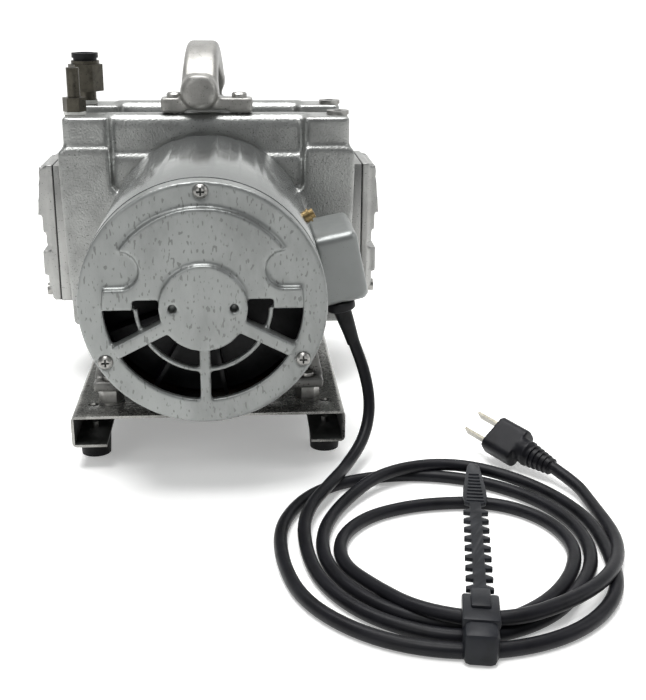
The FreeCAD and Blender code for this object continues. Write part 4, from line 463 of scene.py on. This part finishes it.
def coil_points(first=125, final=1480, step=28):
    """Thirteen points a turn, from the end of the drop to the start of the tail."""
    points = []
    for angle in range(first, final, step):
        reach = between(REACH, (angle - 90) / STEP_DEGREES)
        lift = max(3.6, between(LIFT, (angle - 90) / STEP_DEGREES))
        along, across = reach * cos(radians(angle)), reach * sin(radians(angle))
        points.append((MIDDLE[0] + along, MIDDLE[1] + across, lift))
    return points

turns = coil_points()
print(len(turns), "points on the coil, highest", round(max(point[2] for point in turns), 1), "mm")

# %% [markdown]
# A cord is a curve with a round section. A mesh tube would do as well, but a curve keeps its own centre
# line, so its length can be measured. The spline is a NURBS of order three, which stays smooth between
# its points.

# %% A round curve

def nurbs_tube(name, points, radius, finish):
    curve = bpy.data.curves.new(name, "CURVE")
    curve.dimensions = "3D"
    spline = curve.splines.new("NURBS")
    spline.points.add(len(points) - 1)
    for target, (x, y, z) in zip(spline.points, points):
        target.co = (x / 1000, y / 1000, z / 1000, 1)
    spline.order_u = 3
    spline.use_endpoint_u = True
    spline.resolution_u = 8
    curve.bevel_depth = radius
    curve.bevel_resolution = 5
    curve.materials.append(finish)
    obj = bpy.data.objects.new(name, curve)
    bpy.context.scene.collection.objects.link(obj)
    return obj

def centre_line(obj):
    """Points along a curve's own line, in metres."""
    plain = obj.data.copy()
    plain.bevel_depth = 0
    holder = bpy.data.objects.new("line", plain)
    mesh = bpy.data.meshes.new_from_object(holder)
    line = [vertex.co.copy() for vertex in mesh.vertices]
    bpy.data.meshes.remove(mesh)
    bpy.data.objects.remove(holder)
    bpy.data.curves.remove(plain)
    return line

# %% [markdown]
# Where the cord leaves the gland, a soft sleeve keeps it from bending sharply. It is about 21 mm long and
# tapers from 5.3 mm to just over the cord's own radius. A curve's points can each have a radius, so it is
# a curve too.

# %% Cord and sleeve
SLEEVE = [(79.1, -73.5, 88.8), (81.6, -73.8, 81.8), (84, -74.1, 74.9), (86.2, -74.5, 68)]
SLEEVE_RADII = (5.3, 4.9, 4.2, 3.75)
cord = nurbs_tube("mains_cord", DROP + turns + TAIL, CORD_RADIUS, CORD)
sleeve = nurbs_tube("gland_sleeve", SLEEVE, 0.001, BLACK)
for point, radius in zip(sleeve.data.splines[0].points, SLEEVE_RADII):
    point.radius = radius
sleeve.data.use_fill_caps = True
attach(sleeve, "pump")
line = centre_line(cord)
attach(cord, "pump")
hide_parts("cord_drop", "cord_coil", "cord_tail")

# %% [markdown]
# The tie is a flat strap with teeth along both sides and a long pointed end. It closes round the near
# side of the bundle in a square buckle. Its outline is drawn once along its length, mirrored, and carried
# up to a thickness, because every part of it is a slab with rounded edges.

# %% Parts of the tie
TEETH, TOOTH_STEP = 9, 9.4
TIE_START, TIE_END = Vector((117.5, -300, 0)), Vector((147.5, -139, 0))

def tie_outline(length):
    """One side of the strap: (distance along it, half of its width) in millimetres."""
    side = [(14, 2.9)]
    for i in range(TEETH):
        start = 28 + TOOTH_STEP * i
        side += [(start, 2.9), (start + 0.4, 6.3), (start + 2.6, 6.3), (start + 4.6, 2.9)]
    return side + [(113.5, 2.9), (115, 5.4), (122, 6.3), (132, 6.0), (length - 4, 3.4), (length, 2.0)]

def slab(work, outline, low, high, bevel):
    """An outline in (along, across) with both sides, carried from low to high."""
    ring = [(u, v) for u, v in outline] + [(u, -v) for u, v in reversed(outline)]
    verts = [work.verts.new((v, u, low)) for u, v in ring]
    face = work.faces.new(verts)
    up = bmesh.ops.extrude_face_region(work, geom=[face])["geom"]
    tops = [item for item in up if isinstance(item, bmesh.types.BMVert)]
    bmesh.ops.translate(work, verts=tops, vec=(0, 0, high - low))
    bmesh.ops.recalc_face_normals(work, faces=work.faces)
    edges = [edge for edge in work.edges if edge.calc_face_angle(0) > radians(30)]
    bmesh.ops.bevel(work, geom=edges, offset=bevel, offset_type="OFFSET", affect="EDGES", segments=2,
                    profile=0.5, material=-1, clamp_overlap=True)

def tie_piece(name, outline, low, high, bevel):
    work = bmesh.new()
    slab(work, outline, low, high, bevel)
    way = TIE_END - TIE_START
    frame_of_tie = Matrix.Translation(TIE_START / 1000) @ Matrix.Rotation(-atan2(way.x, way.y), 4, "Z")
    bmesh.ops.scale(work, verts=work.verts, vec=(0.001, 0.001, 0.001))
    bmesh.ops.transform(work, matrix=frame_of_tie, verts=work.verts)
    return add_piece(name, to_mesh(work, name), "pump", TIE)

# %% [markdown]
# The strap lies over the bundle at about 15 mm. The buckle stands on the floor, its rim and latch sit on
# top, and nine low ridges give the thumb a hold on the broad end. All are separate pieces, as small steps
# in height are easier to change that way.

# %% Cable tie
strap = tie_piece("tie_strap", tie_outline((TIE_END - TIE_START).length), 14.9, 17.2, 0.35)
buckle = tie_piece("tie_buckle", [(-7, 7.6), (23, 7.6)], 0.3, 16.4, 3.2)
rim = tie_piece("tie_buckle_rim", [(3, 8.3), (24.5, 8.3)], 12.5, 17.6, 1.2)
latch = tie_piece("tie_latch", [(12, 4.4), (27, 4.4)], 16.5, 19.0, 0.9)
RIDGES, RIDGE_STEP = 9, 4
ridges = []
for i in range(RIDGES):
    half = 4.6 - 0.22 * i
    outline = [(116 + RIDGE_STEP * i, half), (117.6 + RIDGE_STEP * i, half)]
    ridges.append(tie_piece("tie_ridge_%d" % i, outline, 16.9, 17.8, 0.3))
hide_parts("cable_tie")
tie_pieces = [strap, buckle, rim, latch] + ridges
print(len(tie_pieces), "pieces of the tie")

# %% [markdown]
# Rings round the plug's tail let the cord bend there without breaking. Each is one small section spun
# about the cord's direction, which is simpler than a torus as its outer side is flat.

# %% Plug rings
def ring_piece(name, place, aim, radius, thickness, finish):
    """A thin collar turned about aim."""
    work = bmesh.new()
    section = [(radius - 1.2, -thickness / 2), (radius, -thickness / 2 + 0.3), (radius, thickness / 2 - 0.3),
               (radius - 1.2, thickness / 2)]
    verts = [work.verts.new((r / 1000, 0, h / 1000)) for r, h in section]
    edges = [work.edges.new(pair) for pair in zip(verts, verts[1:] + verts[:1])]
    bmesh.ops.spin(work, geom=verts + edges, cent=(0, 0, 0), axis=(0, 0, 1), angle=2 * pi, steps=32,
                   use_merge=True)
    turned = aim.normalized().to_track_quat("Z", "Y").to_matrix().to_4x4()
    bmesh.ops.transform(work, matrix=Matrix.Translation(place / 1000) @ turned, verts=work.verts)
    bmesh.ops.recalc_face_normals(work, faces=work.faces)
    return add_piece(name, to_mesh(work, name), "pump", finish)

PLUG_TAIL, PLUG_AIM = Vector((196, -130, 9)), Vector((-33, 46, 7.5))
rings = [ring_piece("plug_ring_%d" % i, PLUG_TAIL + PLUG_AIM.normalized() * (1.5 + 3.2 * i), PLUG_AIM,
                    5.0 + 0.5 * i, 1.7, CORD) for i in range(5)]
print(len(rings), "rings on the plug's tail")

# %% [markdown]
# The stage is a plain pale floor. A flat one would show a horizon, so a line that bends up behind the
# pump is swept sideways. It gives off a little light of its own, which keeps it pale without washing out
# the pump.

# %% Floor
BACK, BEND = 2, 1.2     # where the floor starts to rise, and the radius of its bend

def stage_floor():
    """A floor that sweeps up into a wall well behind the pump, so that no horizon shows."""
    work = bmesh.new()
    line = [work.verts.new((0, y, 0)) for y in (-4, BACK)]
    for turn in range(9, 91, 9):
        bend = radians(turn)
        line.append(work.verts.new((0, BACK + BEND * sin(bend), BEND - BEND * cos(bend))))
    line.append(work.verts.new((0, 3.2, 5)))
    edges = [work.edges.new(pair) for pair in zip(line, line[1:])]
    for vertex in line:
        vertex.co.x = -5
    swept = bmesh.ops.extrude_edge_only(work, edges=edges)["geom"]
    for item in swept:
        if isinstance(item, bmesh.types.BMVert):
            item.co.x = 5
    bmesh.ops.recalc_face_normals(work, faces=work.faces)
    mesh = bpy.data.meshes.new("floor")
    work.to_mesh(mesh)
    work.free()
    soften(mesh)
    floor = bpy.data.objects.new("floor", mesh)
    bpy.context.scene.collection.objects.link(floor)
    pale = finish_of("floor_white", (0.88, 0.88, 0.87), 0.0, 0.8, 0.008, 2)
    shader = pale.node_tree.nodes["Principled BSDF"]
    shader.inputs["Emission Color"].default_value = (1, 1, 0.99, 1)
    shader.inputs["Emission Strength"].default_value = 0.30
    mesh.materials.append(pale)
    return floor

print("floor of", len(stage_floor().data.polygons), "faces")

# %% [markdown]
# Silver paint shows its shape by what it mirrors, so large soft lamps matter more than strong ones. A
# pale world fills the shadows, a broad sun stands for daylight from above, and three panels draw the long
# highlights.

# %% Light
def lamp(name, place, target, size, power):
    data = bpy.data.lights.new(name, "AREA")
    data.shape = "RECTANGLE"
    data.size, data.size_y = size
    data.energy = power
    lamp_object = bpy.data.objects.new(name, data)
    lamp_object.location = place
    lamp_object.rotation_euler = (Vector(target) - Vector(place)).to_track_quat("-Z", "Y").to_euler()
    bpy.context.scene.collection.objects.link(lamp_object)
    return lamp_object

world = bpy.data.worlds.new("studio")
bpy.context.scene.world = world
world.use_nodes = True
background = world.node_tree.nodes["Background"]
background.inputs["Color"].default_value = (0.93, 0.96, 1.0, 1)
background.inputs["Strength"].default_value = 0.2
sun_data = bpy.data.lights.new("sky_light", "SUN")
sun_data.energy = 1.8
sun_data.angle = radians(25)
sun = bpy.data.objects.new("sky_light", sun_data)
sun.rotation_euler = (Vector((0.12, 0.22, -1.0))).to_track_quat("-Z", "Y").to_euler()
bpy.context.scene.collection.objects.link(sun)
lamps = [lamp("top_softbox", (0.0, 0.15, 1.0), (0, 0, 0.1), (0.9, 0.4), 9),
         lamp("front_softbox", (-0.8, -1.2, 0.9), (0, 0, 0.1), (0.5, 0.7), 3.5),
         lamp("side_softbox", (1.2, -0.2, 0.7), (0, 0, 0.12), (0.5, 0.8), 3)]
bpy.context.scene.view_settings.view_transform = "Standard"
print(len(lamps), "lamps")
